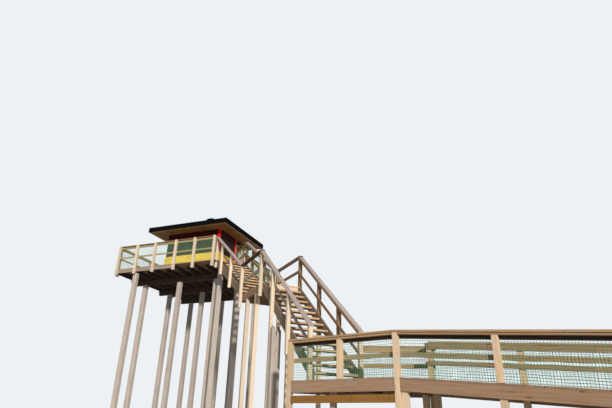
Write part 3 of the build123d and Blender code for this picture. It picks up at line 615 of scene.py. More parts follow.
def net(name, panels, cell, strand, look):
    """Wire netting. A panel is (place, level, a0, a1, b, low, high): strands stand every cell
    along it and lie every cell up it, following the level line. Each strand is a four-sided
    tube, its middle moved by a few millimetres in a slow sine of the place along it."""
    rng = np.random.default_rng(41)
    runs = []
    for place, level, a0, a1, b, low, high in panels:
        steps = max(2, int(round((high - low) / cell / 2)))
        a = np.arange(a0 + cell / 2, a1, cell)[:, None]
        share = np.linspace(0, 1, steps + 1)[None]
        lean = 0.006 * np.sin(share * 7 + a * 9)
        runs.append(place.world(a + lean, b + 0.003 * np.sin(share * 11 + a * 5),
                                level(a) + low + (high - low) * share))
        steps = max(2, int(round((a1 - a0) / cell / 2)))
        rise = np.arange(low + 0.006, high, cell)[:, None]
        a = a0 + (a1 - a0) * np.linspace(0, 1, steps + 1)[None] + 0 * rise
        sag = 0.005 * np.sin(a * 8 + rise * 13) + 0.003 * rng.uniform(-1, 1, rise.shape)
        runs.append(place.world(a, b + strand * 0.6 + 0 * a, level(a) + rise + sag))
    points, faces, total = [], [], 0
    for line in runs:
        step = unit(np.gradient(line, axis=1))
        side = unit(np.cross(step, (0.31, 0.95, 0.02)))
        other = np.cross(step, side)
        ring = np.stack([line + way * strand / 2 for way in (side, other, -side, -other)], 2)
        points.append(ring.reshape(-1, 3))
        faces += tubes(*line.shape[:2], 4, total)
        total += len(points[-1])
    make(name, np.concatenate(points), faces, look, None)


def domes(name, centres, normals, radius, height, look):
    """Bolt heads on washers: each is a flat disc of the radius, then a dome whose radius and
    height follow the cosine and sine of a quarter turn, standing on the surface's normal."""
    ring = np.linspace(0, 2 * np.pi, 10, endpoint=False)[:, None]
    lift, size = np.array([(0, 1), (0.22, 1), (0.24, 0.55), (0.8, 0.5), (1.0, 0.3)]).T[..., None, None]
    centres, normals = np.asarray(centres, float), unit(np.asarray(normals, float))
    first = unit(np.cross((0, 0, 1.0), normals))
    second = np.cross(normals, first)
    centres, normals, first, second = (v[:, None, None] for v in (centres, normals, first, second))
    rim = np.cos(ring) * first + np.sin(ring) * second
    points = centres + normals * lift * height + rim * size * radius
    make(name, points, tubes(len(centres), len(lift), len(ring)), look, None)


# Materials

def add(tree, kind, given=(), out=0, **settings):
    """One shader node with its settings. given holds its inputs, in order or by name or number, as
    values or links. Its output socket at out comes back."""
    node = tree.nodes.new("ShaderNode" + kind)
    for key, value in settings.items():
        setattr(node, key, value)
    for key, value in given.items() if isinstance(given, dict) else enumerate(given):
        if isinstance(value, bpy.types.NodeSocket):
            tree.links.new(value, node.inputs[key])
        else:
            node.inputs[key].default_value = value
    return node.outputs[out] if node.outputs else None


def material(name, build, *values):
    """A material whose surface is the shader that build adds to its empty tree."""
    made = bpy.data.materials.new(name)
    made.use_nodes = True
    made.node_tree.nodes.clear()
    add(made.node_tree, "OutputMaterial", [build(made.node_tree, *values)])
    return made


def layered(tree, colour, layers):
    """The colour under layers of (share, colour), each laid over the last."""
    for share, over in layers:
        colour = add(tree, "Mix", {0: share, 6: colour, 7: over}, 2, data_type="RGBA")
    return colour


def grained(tree, rows):
    """Patterns drawn out along the grain, for rows of (stretch, detail, roughness), and the grain."""
    grain = add(tree, "Attribute", out="Vector", attribute_name="grain")
    stretched = [add(tree, "VectorMath", (grain, row[0]), operation="MULTIPLY") for row in rows]
    return [add(tree, "TexNoise", {"Vector": vector, "Scale": 1.0, "Detail": detail, "Roughness": roughness})
            for vector, (_, detail, roughness) in zip(stretched, rows)] + [grain]


def seen_plainly(tree):
    """1 where the camera, a gloss or glass sees the stage, and 0 where it lights the tower."""
    path = add(tree, "LightPath").node.outputs
    shiny = add(tree, "Math", (path["Is Glossy Ray"], path["Is Transmission Ray"]), operation="MAXIMUM")
    return add(tree, "Math", (path["Is Camera Ray"], shiny), operation="MAXIMUM")


def sawn_timber(tree, light, dark, weathering, silver, underside=0.35):
    """Rough-sawn preserved softwood, weathered outdoors: matt, with broad bleached and stained patches,
    streaks along the grain about 10 mm apart, year rings 5 mm apart round the log's middle, dark knots a hand
    or two apart and greyer upper faces. Faces that look down are darkened, partly as damp and partly as
    painted shade. dark and underside are shares of the light colour's brightness in the streaks and on the
    painted-shade undersides, and silver is how grey the weathered wood has gone."""
    streak, wander, blotch, grain = grained(tree, (
        (STREAKS, 5.0, 0.62), ((0.8, 7, 7), 2.0, 0.55), ((3.5, 16, 16), 4.0, 0.6)))
    across = add(tree, "VectorMath", (grain, (0, 1, 1)), operation="MULTIPLY")
    radius = add(tree, "VectorMath", (across,), "Value", operation="LENGTH")
    year = add(tree, "Math", (wander, 0.05, radius), operation="MULTIPLY_ADD")
    year = add(tree, "Math", (year, 1250.0), operation="MULTIPLY")
    ring = add(tree, "MapRange", (add(tree, "Math", (year,), operation="SINE"), -1.0, 1.0))
    cells = add(tree, "VectorMath", (grain, (2.6, 9, 9)), operation="MULTIPLY")
    cell = add(tree, "TexVoronoi", {"Vector": cells, "Scale": 1.0}).node.outputs
    chosen = add(tree, "MapRange", (cell["Color"], 0.52, 0.56, 0.0, 0.7))
    knot = add(tree, "MapRange", (cell["Distance"], 0.06, 0.17, 1.0, 0.0))
    knot = add(tree, "Math", (knot, chosen), operation="MULTIPLY")
    where = add(tree, "TexCoord", out="Object")
    patch = add(tree, "TexNoise", {"Vector": where, "Scale": 2.6, "Detail": 4.0, "Roughness": 0.6})
    worn = add(tree, "Math", (blotch, 0.8, patch), operation="MULTIPLY_ADD")
    upward = add(tree, "SeparateXYZ", (add(tree, "NewGeometry", out="Normal"),), 2)
    sawn = add(tree, "Attribute", out="Fac", attribute_name="cut")
    shade, grey = deeper(light, dark), silvered(light, silver, 0.5 + 0.5 * dark)
    colour = layered(tree, light, (
        (add(tree, "MapRange", (streak, 0.36, 0.68)), shade),
        (add(tree, "Math", (ring, 0.22), operation="MULTIPLY"), shade),
        (add(tree, "MapRange", (worn, 0.82, 1.06, 0.0, weathering)), grey),
        (add(tree, "MapRange", (upward, 0.35, 0.9, 0.0, 0.75)), silvered(light, silver, 0.8)),
        # Painted shade: faces that look down are darkened, standing in for the shade under things, with some
        # damp
        (add(tree, "MapRange", (upward, -0.9, -0.4, 0.8, 0.0)), deeper(light, underside)),
        (knot, deeper(light, 0.2)),
        (add(tree, "Math", (sawn, 0.35), operation="MULTIPLY"), deeper(light, 0.45))))
    board = add(tree, "Attribute", out="Fac", attribute_name="board")
    value = add(tree, "MapRange", (board, 0.0, 1.0, 0.86, 1.084))
    height = add(tree, "Math", (ring, 0.25, streak), operation="MULTIPLY_ADD")
    return add(tree, "BsdfPrincipled", {
        "Base Color": add(tree, "HueSaturation", {"Value": value, "Color": colour}),
        "Roughness": add(tree, "MapRange", (streak, 0.3, 0.7, 0.74, 0.92)),
        "Normal": add(tree, "Bump", {"Strength": 0.5, "Distance": 0.0016, "Height": height}),
        "Specular IOR Level": 0.2})


def brushed_paint(tree, colour, wear, roughness):
    """Exterior gloss brushed on sawn boards and weathered for some years: a faint sheen, brush
    marks along the boards, slow fading, and wood showing through at scuffs."""
    streak, scuff, _ = grained(tree, ((STREAKS, 5.0, 0.62), ((7, 60, 60), 6.0, 0.7)))
    where = add(tree, "TexCoord", out="Object")
    tall = add(tree, "VectorMath", (where, (1.7, 1.7, 2.4)), operation="MULTIPLY")
    fade = add(tree, "TexNoise", {"Vector": tall, "Scale": 1.0, "Detail": 4.0, "Roughness": 0.6})
    bare = add(tree, "MapRange", (scuff, 0.74 - 0.1 * wear, 0.78 - 0.1 * wear))
    paint = layered(tree, colour, (
        (add(tree, "MapRange", (fade, 0.35, 0.68)), deeper(colour, 0.74)),
        (add(tree, "Math", (bare, 0.6), operation="MULTIPLY"), linear("#8A6A4A"))))
    board = add(tree, "Attribute", out="Fac", attribute_name="board")
    value = add(tree, "MapRange", (board, 0.0, 1.0, 0.95, 1.04))
    height = add(tree, "Math", (streak, bare), operation="SUBTRACT")
    return add(tree, "BsdfPrincipled", {
        "Base Color": add(tree, "HueSaturation", {"Value": value, "Color": paint}),
        "Roughness": add(tree, "MapRange", (fade, 0.3, 0.7, roughness - 0.08, roughness + 0.12)),
        "Normal": add(tree, "Bump", {"Strength": 0.35, "Distance": 0.0004, "Height": height}),
        "Specular IOR Level": 0.15})


def mineral_felt(tree, colour):
    """Bituminous roofing felt faced with crushed slate: near black and matt, with greyer grit.
    The 2 mm grit is drawn 8 mm coarse so that it shows."""
    where = add(tree, "TexCoord", out="Object")
    grit = add(tree, "TexNoise", {"Vector": where, "Scale": 125, "Detail": 2.0, "Roughness": 0.7})
    patch = add(tree, "TexNoise", {"Vector": where, "Scale": 1.3, "Detail": 4.0, "Roughness": 0.6})
    grey = [c * 2.2 + 0.003 for c in colour[:3]] + [1.0]
    base = layered(tree, colour, (
        (add(tree, "MapRange", (patch, 0.35, 0.7, 0.0, 0.5)), grey),
        (add(tree, "MapRange", (grit, 0.56, 0.75, 0.0, 0.6)), grey)))
    board = add(tree, "Attribute", out="Fac", attribute_name="board")
    value = add(tree, "MapRange", (board, 0.0, 1.0, 0.85, 1.15))
    return add(tree, "BsdfPrincipled", {
        "Base Color": add(tree, "HueSaturation", {"Value": value, "Color": base}),
        "Roughness": add(tree, "MapRange", (patch, 0.3, 0.7, 0.85, 0.97)),
        "Normal": add(tree, "Bump", {"Strength": 0.5, "Distance": 0.002, "Height": grit}),
        "Specular IOR Level": 0.04})


def coated_wire(tree, colour):
    """Green plastic-coated netting: smooth and slightly glossy, paler where the sun has bleached it."""
    patch = add(tree, "TexNoise", {"Vector": add(tree, "TexCoord", out="Object"), "Scale": 1.5,
                                   "Detail": 3.0, "Roughness": 0.55})
    bleached = add(tree, "MapRange", (patch, 0.35, 0.65))
    return add(tree, "BsdfPrincipled", {
        "Base Color": add(tree, "Mix", {0: bleached, 6: colour, 7: silvered(colour, 0.3, 1.5)}, 2,
                          data_type="RGBA"),
        "Roughness": 0.45, "Specular IOR Level": 0.3})


def galvanised_steel(tree, colour):
    """Hot-dip galvanised steel: dull grey zinc with soft blotches a few millimetres wide."""
    spangle = add(tree, "TexNoise", {"Vector": add(tree, "TexCoord", out="Object"), "Scale": 180,
                                     "Detail": 2.0, "Roughness": 0.55})
    bright = add(tree, "MapRange", (spangle, 0.4, 0.6))
    return add(tree, "BsdfPrincipled", {
        "Base Color": add(tree, "Mix", {0: bright, 6: colour, 7: linear("#B4B7B8")}, 2, data_type="RGBA"),
        "Metallic": 0.85,
        "Roughness": add(tree, "MapRange", (spangle, 0.3, 0.7, 0.4, 0.6))})


def window_glass(tree, colour):
    """Dark green tinted glass in the door: smooth, with a faint film of salt that dulls it."""
    salt = add(tree, "TexNoise", {"Vector": add(tree, "TexCoord", out="Object"), "Scale": 9,
                                  "Detail": 5.0, "Roughness": 0.65})
    film = add(tree, "MapRange", (salt, 0.4, 0.75, 0.0, 0.35))
    return add(tree, "BsdfPrincipled", {
        "Base Color": add(tree, "Mix", {0: film, 6: colour, 7: linear("#7C9A88")}, 2, data_type="RGBA"),
        "Roughness": add(tree, "MapRange", (salt, 0.3, 0.7, 0.06, 0.3)), "IOR": 1.5})


# Each finish: how it is made, the material's name and its colour in the panel. Timber adds the streaks' share
# of its brightness, how much of it is weathered, how grey that part has gone, and the underside's brightness,
# which darkens faces that look down as painted shade; paint adds how scuffed it is and its roughness.
LOOKS = {
    "post": (sawn_timber, "sawn_softwood_pale", "posts", 0.74, 0.5, 0.25),
    "knotty": (sawn_timber, "sawn_softwood_knotty", "walk_posts", 0.5, 0.9, 0.35),
    "edge": (sawn_timber, "sawn_softwood_bleached", "edge_boards", 0.62, 0.6, 0.5),
    "deck_cap": (sawn_timber, "sawn_softwood_worn", "deck_handrails", 0.6, 0.4, 0.2, 0.1),
    "landing_cap": (sawn_timber, "sawn_softwood_dark", "landing_handrails", 0.6, 0.4, 0.2),
    "right_post": (sawn_timber, "sawn_softwood_tanned", "right_posts", 0.6, 0.4, 0.2),
    "right_board": (sawn_timber, "sawn_softwood_amber", "right_boards", 0.6, 0.4, 0.2),
    "handrail": (sawn_timber, "sawn_softwood_silvered", "stair_handrails", 0.66, 0.6, 0.6),
    "rail_board": (sawn_timber, "sawn_softwood_honey", "rail_boards", 0.62, 0.5, 0.35, 0.8),
    "stringer": (sawn_timber, "sawn_softwood_grey", "stringers", 0.58, 0.6, 0.5),
    "frame": (sawn_timber, "sawn_softwood_damp", "frame", 0.55, 0.6, 0.4, 0.3),
    "tread": (sawn_timber, "sawn_softwood_tan", "treads", 0.7, 0.4, 0.3, 0.2),
    "walk": (sawn_timber, "sawn_softwood_brown", "boardwalk", 0.56, 0.65, 0.4),
    "walk_cap": (sawn_timber, "sawn_softwood_golden", "walk_handrails", 0.56, 0.65, 0.3),
    # Painted shade: a dark copy of the boardwalk's wood for the near battens, which lie in the handrail's
    # shade
    "shaded": (sawn_timber, "sawn_softwood_stained", "walk_battens", 0.6, 0.4, 0.2),
    "beam": (sawn_timber, "sawn_softwood_orange", "lower_beam", 0.6, 0.4, 0.2),
    "old": (sawn_timber, "driftwood_grey", "old_piles", 0.4, 0.6, 0.4),
    "yellow": (brushed_paint, "gloss_yellow", "yellow", 0.3, 0.5),
    # Painted shade: the same yellow paint as the other sides, drawn deeper and darker for the right side
    "deep_yellow": (brushed_paint, "gloss_deep_yellow", "right_yellow", 0.3, 0.5),
    "red": (brushed_paint, "gloss_red", "red", 0.3, 0.5),
    "maroon": (brushed_paint, "gloss_dark_red", "dark_red", 0.3, 0.6),
    "shutter": (brushed_paint, "gloss_grey_green", "shutters", 0.3, 0.55),
    "dark_shutter": (brushed_paint, "gloss_dark_brown", "right_shutters", 0.3, 0.6),
    "soffit": (brushed_paint, "brown_stain", "soffit", 0.6, 0.65),
    # Painted light: the soffit's outer ring is paler, standing in for the light at the eaves' edge while the
    # boards near the wall lie in shade
    "trim": (brushed_paint, "pale_stain", "soffit_edge", 0.5, 0.65),
    "door": (brushed_paint, "gloss_red_brown", "door", 0.5, 0.55),
    "felt": (mineral_felt, "slate_faced_felt", "felt"),
    "net": (coated_wire, "coated_wire_green", "netting"),
    "glass": (window_glass, "tinted_glass", "glass"),
    "steel": (galvanised_steel, "galvanised_steel", "steel"),
}
FINISHES = {}


def finish(key):
    """The named finish, made once from the panel's colours."""
    if key not in FINISHES:
        build, name, colour, *numbers = LOOKS[key]
        colour = list(getattr(bpy.context.scene.tower_colours, colour))
        FINISHES[key] = material(name, build, colour, *numbers)
    return FINISHES[key]


# Parts of the deck

DECK_POSTS = DECK_LEFT + POST / 2 + np.concatenate([[0], np.cumsum(
    [DECK_BAY, DECK_BAY, DECK_MID_BAY, DECK_BAY, DECK_BAY])])


def railing_parts(place, level, posts, line, inner, cap, boards, batten, rail, tail=POST_TAIL, notched=False,
                  width=CAP_WIDTH):
    """The posts, the flat handrail and the upright boards of one railing; a batten of 0 is left out."""
    half = POST / 2
    under = RAIL_HEIGHT - CAP_THICK
    face = sorted((line + inner * half, line + inner * (half + RAIL_THICK)))
    outer = line if notched else line - inner * CAP_WIDTH / 2
    top = RAIL_HEIGHT if notched else under
    posts = np.asarray(posts, float)
    stand = uprights(place, posts, line, POST, level(posts) - tail, lambda a: level(a) + top)
    handrail = strips(place, level, *cap, under, RAIL_HEIGHT, *sorted((outer, outer + inner * width)))
    low, high = np.array([(under - batten, MID_RAIL_HEIGHT - rail / 2),
                          (under, MID_RAIL_HEIGHT + rail / 2)])[:, 0 if batten else 1:]
    return stand, handrail, strips(place, level, *boards, low, high, *face)


def deck_railing_runs():
    """Every deck railing as (place, posts, line, inner, cap ends, board ends)."""
    half = POST / 2
    ends = (DECK_LEFT, DECK_RIGHT)
    over = CAP_WIDTH - half
    cap = (DECK_FRONT + over, DECK_BACK - over)
    boards = (DECK_FRONT + RAIL_THICK, DECK_BACK - RAIL_THICK)
    start = WING_BACK[1] + CAP_WIDTH
    side, length = between(WING_BACK, WING_FAR)
    wing = (0, length - TOP_NEWEL - half)
    back, left, right = (spread(low + half, high - half, DECK_BAY)
                         for low, high in (ends, cap, (start, cap[1])))
    return {
        "front_railing": (HUT, DECK_POSTS, DECK_FRONT - half, 1, ends, ends),
        "back_railing": (HUT, back, DECK_BACK + half, -1, ends, ends),
        "left_railing": (DEPTH, left, -DECK_LEFT + half, -1, cap, boards),
        "right_railing": (DEPTH, right, -DECK_RIGHT - half, 1, (start, cap[1]), (start, boards[1])),
        "wing_railing": (side, np.array([POST]), half, -1, wing, wing),
    }


def stair_railing_runs():
    """Every stair railing as (level line, posts, line, inner, ends, tail)."""
    half = POST / 2
    upper = -TOP_NEWEL + np.array([0] + UPPER_POSTS)
    upper_ends = (-TOP_NEWEL - half, BACK_NEWEL - half)
    landing_ends = (BACK_NEWEL - half, FRONT_NEWEL + half)
    lower_ends = (FRONT_NEWEL + half, FOOT_NEWEL + half)
    runs = []
    for side, lower in ((-1, LOWER_POSTS_LEFT), (1, LOWER_POSTS_RIGHT)):
        for level, posts, ends, tail in (
                (upper_line, upper, upper_ends, POST_TAIL),
                (landing_level, np.array([BACK_NEWEL, FRONT_NEWEL]), landing_ends, LANDING_TAIL),
                (lower_line, FRONT_NEWEL + np.array(lower), lower_ends, LOWER_TAIL)):
            runs.append((level, posts, side * HALF_SPACING, -side, ends, tail))
    return runs


def inset(outline, distance):
    """The outline moved in by a distance on every side; its points run anticlockwise."""
    points = np.asarray(outline, float)
    step = np.roll(points, -1, 0) - points
    normal = np.stack([-step[:, 1], step[:, 0]], 1) / np.linalg.norm(step, axis=1)[:, None]
    start = points + normal * distance
    before, direction = np.roll(start, 1, 0), np.roll(step, 1, 0)
    cross = direction[:, 0] * step[:, 1] - direction[:, 1] * step[:, 0]
    gap = start - before
    t = (gap[:, 0] * step[:, 1] - gap[:, 1] * step[:, 0]) / cross
    return before + direction * t[:, None]


def platform_outline():
    """Front edge, the ramp's start, the back corner, and an edge under the stair's foot."""
    edge = Place(*STAIR.point(FOOT_NEWEL - STAIR_BEARING, 0), STAIR_TURN)
    right = WALK.local(*edge.point(HALF_SPACING + POST, 0))
    along = WALK.local(*edge.point(-RAIL_SPACING, 0))
    corner = -PLATFORM_LENGTH - WALK_EDGE
    share = (corner - along[0]) / (right[0] - along[0])
    left = (corner, along[1] + share * (right[1] - along[1]))
    return np.array([(corner, -WALK_EDGE), (0, -WALK_EDGE), (0, FAR_EDGE),
                     (-PLATFORM_BACK_ALONG, PLATFORM_BACK), right, left])


def walk_runs():
    """Every boardwalk railing as (place, level, start, end, posts, line, inner, main posts)."""
    far_line = [WALK.point(*point) for point in inset(platform_outline(), WALK_EDGE)]
    first, length = between(far_line[4], far_line[3])
    corner, rest = between(far_line[3], far_line[2])
    ramp_end = RAMP_LENGTH + WALK_EDGE
    middle = [RAMP_BAY * (i + 1) for i in range(RAMP_BAYS - 1)]
    half = WALK_POST / 2
    return [
        (WALK, walk_level, -PLATFORM_LENGTH - WALK_EDGE, 0, [-PLATFORM_BAY], 0, 1, [-PLATFORM_LENGTH, 0]),
        (WALK, walk_level, 0, ramp_end, middle, 0, 1, [0, RAMP_LENGTH]),
        (WALK, walk_level, 0, ramp_end, middle, WALK_WIDTH, -1, [0, RAMP_LENGTH]),
        (first, platform_level, 0, length, [half, length / 2], 0, -1, []),
        (corner, platform_level, 0, rest - half - WALK_CAP_OVER, [rest - WALK_POST], 0, -1, []),
    ]


def hut_ring(out):
    """Corners of the hut's plan moved out by a distance, anticlockwise from the front left."""
    left, right, front, back = HUT_LEFT - out, HUT_RIGHT + out, HUT_FRONT - out, HUT_BACK + out
    return np.array([(left, front), (right, front), (right, back), (left, back)])


def hut_walls():
    """Each wall as (place, window's start, window's end); the place's zero line is its outer face."""
    wide, deep = HUT_RIGHT - HUT_LEFT, HUT_BACK - HUT_FRONT
    ends = (wide - POST_IN, DOOR_START - CORNER_POST - HUT_FRONT, wide - POST_IN, deep - POST_IN)
    return {key: (Place(x, y, 90 * i), POST_IN, ends[i])
            for i, (key, (x, y)) in enumerate(zip(("front", "right", "back", "left"), hut_ring(0)))}


# Settings

def size(name, description, default, low, high):
    """A length in the panel."""
    return FloatProperty(name=name, description=description, unit="LENGTH", default=default, min=low,
                         max=high)


def tone(name, description, code):
    """A colour in the panel."""
    return FloatVectorProperty(name=name, description=description, subtype="COLOR", size=4, min=0, max=1,
                               default=linear(code))


class TowerTimber(bpy.types.PropertyGroup):
    """Sizes shared by the walking boards and rails."""
    plank: size("Plank width", "Width of one walking board", 0.145, 0.06, 0.3)
    gap: size("Plank gap", "Gap between walking boards", 0.007, 0.001, 0.03)
    edge: size("Edge radius", "Rounding of the timbers' edges", 0.004, 0.001, 0.01)
    stock: size("Board length", "Longest board before a joint", 4.2, 1.0, 8.0)


class TowerColours(bpy.types.PropertyGroup):
    """Colours of the timbers, paints, felt and netting."""
    posts: tone("Posts", "Pale sawn posts and legs", "#F2E2CC")
    edge_boards: tone("Edge boards", "Bleached boards round the deck's edge", "#A8998C")
    deck_handrails: tone("Deck handrails", "Worn flat handrail on the deck", "#A07C58")
    landing_handrails: tone("Landing handrails", "Dark flat handrail on the landing", "#7A5435")
    right_posts: tone("Right posts", "Darker posts on the stair's right side", "#B0906C")
    right_boards: tone("Right boards", "Upright boards on the stair's right posts", "#A08266")
    stair_handrails: tone("Stair handrails", "Silvered handrail and boards on the stair", "#CBB9B3")
    rail_boards: tone("Rail boards", "Upright boards on the deck's posts", "#C6B280")
    frame: tone("Frame", "Joists, girders and beams under the boards", "#54453A")
    stringers: tone("Stringers", "Sides of the stair", "#A08A74")
    walk_posts: tone("Boardwalk posts", "Knotty posts of the boardwalk", "#FADDB9")
    treads: tone("Treads", "Steps and landing boards", "#DFBF97")
    boardwalk: tone("Boardwalk", "Boards, edge boards and rails of the boardwalk", "#B8967A")
    walk_handrails: tone("Boardwalk handrails", "Stacked flat handrail of the boardwalk", "#C4A27C")
    # The battens' colour is painted shade: the boardwalk's wood drawn dark where the handrail shades it
    walk_battens: tone("Boardwalk battens", "Dark upright board under the boardwalk's handrail", "#43342A")
    lower_beam: tone("Lower beam", "Beam under the platform's front edge", "#9C7036")
    old_piles: tone("Old piles", "Grey cracked piles", "#D6CEC8")
    yellow: tone("Yellow boards", "Paint on the hut's lower boards", "#FFE466")
    # The right side's yellow is the same paint as the rest, drawn deeper as painted shade
    right_yellow: tone("Right yellow boards", "Deeper paint on the right side's lower boards", "#FFD40C")
    red: tone("Red posts", "Paint on the hut's posts", "#F81A1C")
    dark_red: tone("Top boards", "Paint on the boards under the soffit", "#3C0906")
    shutters: tone("Shutters", "Paint on the shutters and walls", "#4F5245")
    right_shutters: tone("Right shutters", "Paint on the right side's shutters and wall", "#261C12")
    soffit: tone("Soffit", "Stain on the soffit", "#A67D4B")
    # The outer board's paler colour is painted light along the eaves' edge
    soffit_edge: tone("Soffit edge", "Stain on the soffit's outer board", "#BCA07C")
    door: tone("Door", "Paint on the door", "#8A2E1C")
    glass: tone("Glass", "Tint of the door's glass", "#0E5236")
    felt: tone("Felt", "Slate-faced felt on the roof and fascia", "#08090D")
    netting: tone("Netting", "Coating of the wire", "#16895E")
    steel: tone("Steel", "Zinc on the bolts, lever and hinges", "#8E9296")


class TowerNet(bpy.types.PropertyGroup):
    """Sizes of the netting on the railings."""
    cell: size("Cell", "Distance between the netting's strands", 0.052, 0.02, 0.2)
    strand: size("Boardwalk strand", "Thickness of the boardwalk's coated strands", 0.0065, 0.001, 0.02)
    fine: size("Deck strand", "Thickness of the deck's coated strands", 0.004, 0.001, 0.02)


class TowerHut(bpy.types.PropertyGroup):
    """Sizes of the hut's cladding."""
    cladding: size("Cladding width", "Width of one painted board", 0.170, 0.08, 0.3)
    joint: size("Cladding joint", "Groove between painted boards", 0.003, 0.001, 0.01)
    felt_rows: IntProperty(name="Felt rows", description="Rows of felt up each slope", default=3, min=1,
                           max=8)


class TowerStage(bpy.types.PropertyGroup):
    """Background, lamps and camera."""
    backdrop: tone("Backdrop", "Colour behind the tower", "#EEF1F4")
    key: FloatProperty(name="Key light", description="Strength of the lamp in front", default=3.15, min=0)
    fill: FloatProperty(name="Fill light", description="Strength of the light from all round", default=0.20,
                        min=0)
    glow: FloatProperty(name="Floor brightness", default=0.42, min=0, max=1,
                        description="How much paler the floor looks than the lamp makes it")
    focal: FloatProperty(name="Focal length", description="Camera's focal length in millimetres", min=10,
                         default=FOCAL_PIXELS * SENSOR / PICTURE_WIDTH)


# Operators

class TOWER_OT_deck_boards(bpy.types.Operator):
    """Lay the deck's planks, cut on the slant along the wing that meets the stair"""
    bl_idname = "tower.deck_boards"
    bl_label = "Deck boards"

    def execute(self, context):
        sizes = context.scene.tower_timber
        chain = np.array([(DECK_FRONT, DECK_RIGHT), (STAIR_HEAD.y, STAIR_HEAD.x), WING_FAR[::-1],
                          WING_BACK[::-1], (DECK_BACK, DECK_RIGHT)])
        low, high = plank_rows(DECK_FRONT, DECK_BACK, sizes.plank, sizes.gap)
        rows = planks(HUT, low, high, flat(DECK_LEFT), lambda b: np.interp(b, *chain.T), JOIST_TOP, DECK_TOP)
        timber("deck_planks", cut(rows, sizes.stock, PLANK_CUT_GAP, 11), "walk", "grey_timber",
               ["deck_boards"], sizes.edge, seed=12)
        return {"FINISHED"}


class TOWER_OT_deck_frame(bpy.types.Operator):
    """Set the deck's edge boards, joists, girders and the wing's beams under the planks"""
    bl_idname = "tower.deck_frame"
    bl_label = "Deck frame"

    def execute(self, context):
        sizes = context.scene.tower_timber
        low = JOIST_TOP - EDGE_DEPTH
        front, back, side = DECK_FRONT + EDGE_BOARD, DECK_BACK - EDGE_BOARD, DECK_LEFT + EDGE_BOARD
        edges = [bars(HUT, (DECK_LEFT, DECK_POSTS[3]), (DECK_FRONT, front), (low, JOIST_TOP)),
                 bars(HUT, (DECK_LEFT, DECK_RIGHT), (back, DECK_BACK), (low, JOIST_TOP)),
                 bars(HUT, (DECK_LEFT, side), (front, back), (low, JOIST_TOP), "b")]
        timber("deck_edge_planks", cut(edges, EDGE_STOCK, PLANK_CUT_GAP, 3), "edge", "grey_timber",
               ["deck_edge_boards"], sizes.edge, seed=13)

        long = np.concatenate([[side], DECK_POSTS[1:] - POST / 2 - JOIST_WIDTH])
        short = (long[1:] + long[:-1]) / 2
        starts = np.concatenate([np.full(6, front), np.full(5, DECK_FRONT + JOIST_RECESS)])
        places = np.concatenate([long, short])
        level = (JOIST_BOTTOM, JOIST_TOP)
        joists = bars(HUT, (places, places + JOIST_WIDTH), (starts, back), level, "b")
        rim_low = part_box("deck_joists")[1][0] - JOIST_WIDTH
        rim = bars(HUT, (rim_low, DECK_RIGHT), (WING_BACK[1] - JOIST_WIDTH, back), level, "b")
        timber("deck_joist_timbers", [joists, rim], "frame", "grey_timber", ["deck_joists"], 0.005, seed=14)

        side, length = between(WING_BACK, WING_FAR)
        head = bars(STAIR_HEAD, (0, 2 * HALF_EDGE), (0, JOIST_WIDTH), level)
        far = bars(side, (0, length), (-JOIST_WIDTH, 0), level)
        timber("wing_beams", [head, far], "frame", "grey_timber", ["wing_frame"], 0.005, seed=15)

        half = GIRDER_WIDTH / 2
        rows = np.arange(3) * PILE_BAY
        girders = bars(HUT, (DECK_LEFT + EDGE_BOARD, DECK_RIGHT), (rows - half, rows + half),
                       (GIRDER_BOTTOM, JOIST_BOTTOM))
        timber("deck_girder_timbers", girders, "frame", "grey_timber", ["deck_girders"], 0.006, seed=16)
        return {"FINISHED"}


class TOWER_OT_piles(bpy.types.Operator):
    """Stand the deck's weathered piles and the broken old pile by the stair"""
    bl_idname = "tower.piles"
    bl_label = "Piles"

    def execute(self, context):
        old = STAIR.point(FRONT_NEWEL + LOWER_POSTS_LEFT[0] + (POST + OLD_PILE) / 2,
                          -HALF_SPACING + (OLD_PILE_THICK - POST) / 2)
        centres = [*((-i * PILE_BAY, j * PILE_BAY) for j in range(3) for i in range(3)),
                   (DECK_POSTS[1], DECK_FRONT + EDGE_BOARD + PILE / 2),
                   *(STAIR_HEAD.point(a, PILE / 2) for a in (PILE, 2 * HALF_EDGE - PILE)), old]
        halves = [(PILE / 2, PILE / 2)] * 12 + [(OLD_PILE / 2, OLD_PILE_THICK / 2)]
        angles = [0] * 10 + [STAIR_TURN] * 2 + [STAIR.angle]
        tops = [GIRDER_BOTTOM] * 9 + [JOIST_BOTTOM] * 3 + [OLD_PILE_TOP]
        weathered_piles("weathered_piles", centres, halves, angles, tops, [0] * 12 + [1], "old",
                        "grey_timber", ["deck_piles"], 21)
        return {"FINISHED"}


class TOWER_OT_deck_railings(bpy.types.Operator):
    """Stand the deck's posts and fix their handrails and boards"""
    bl_idname = "tower.deck_railings"
    bl_label = "Deck railings"

    def execute(self, context):
        nodes = ["front_railing", "back_railing", "side_railings", "wing_railing"]
        runs = deck_railing_runs()
        parts = {key: railing_parts(run[0], deck_level, *run[1:], RAIL_DEPTH, DECK_RAIL_DEPTH, notched=True,
                                    width=LEFT_CAP_WIDTH if key == "left_railing" else CAP_WIDTH)
                 for key, run in runs.items()}
        posts, rails = (np.concatenate([part[i] for part in parts.values()]) for i in (0, 2))
        left = parts.pop("left_railing")[1]
        caps = np.concatenate([part[1] for part in parts.values()])
        for name, boards, look, radius, seed in (
                ("deck_posts", posts, "post", 0.005, 31),
                ("deck_handrails", cut(caps, DECK_STOCK, CUT_GAP, 32), "deck_cap", 0.004, 33),
                ("deck_left_handrail", cut(left, DECK_STOCK, CUT_GAP, 36), "rail_board", 0.004, 37),
                ("deck_rail_boards", cut(rails, DECK_STOCK, CUT_GAP, 34), "rail_board", 0.003, 35)):
            timber(name, boards, look, "pale_timber", nodes, radius, seed=seed)
        return {"FINISHED"}


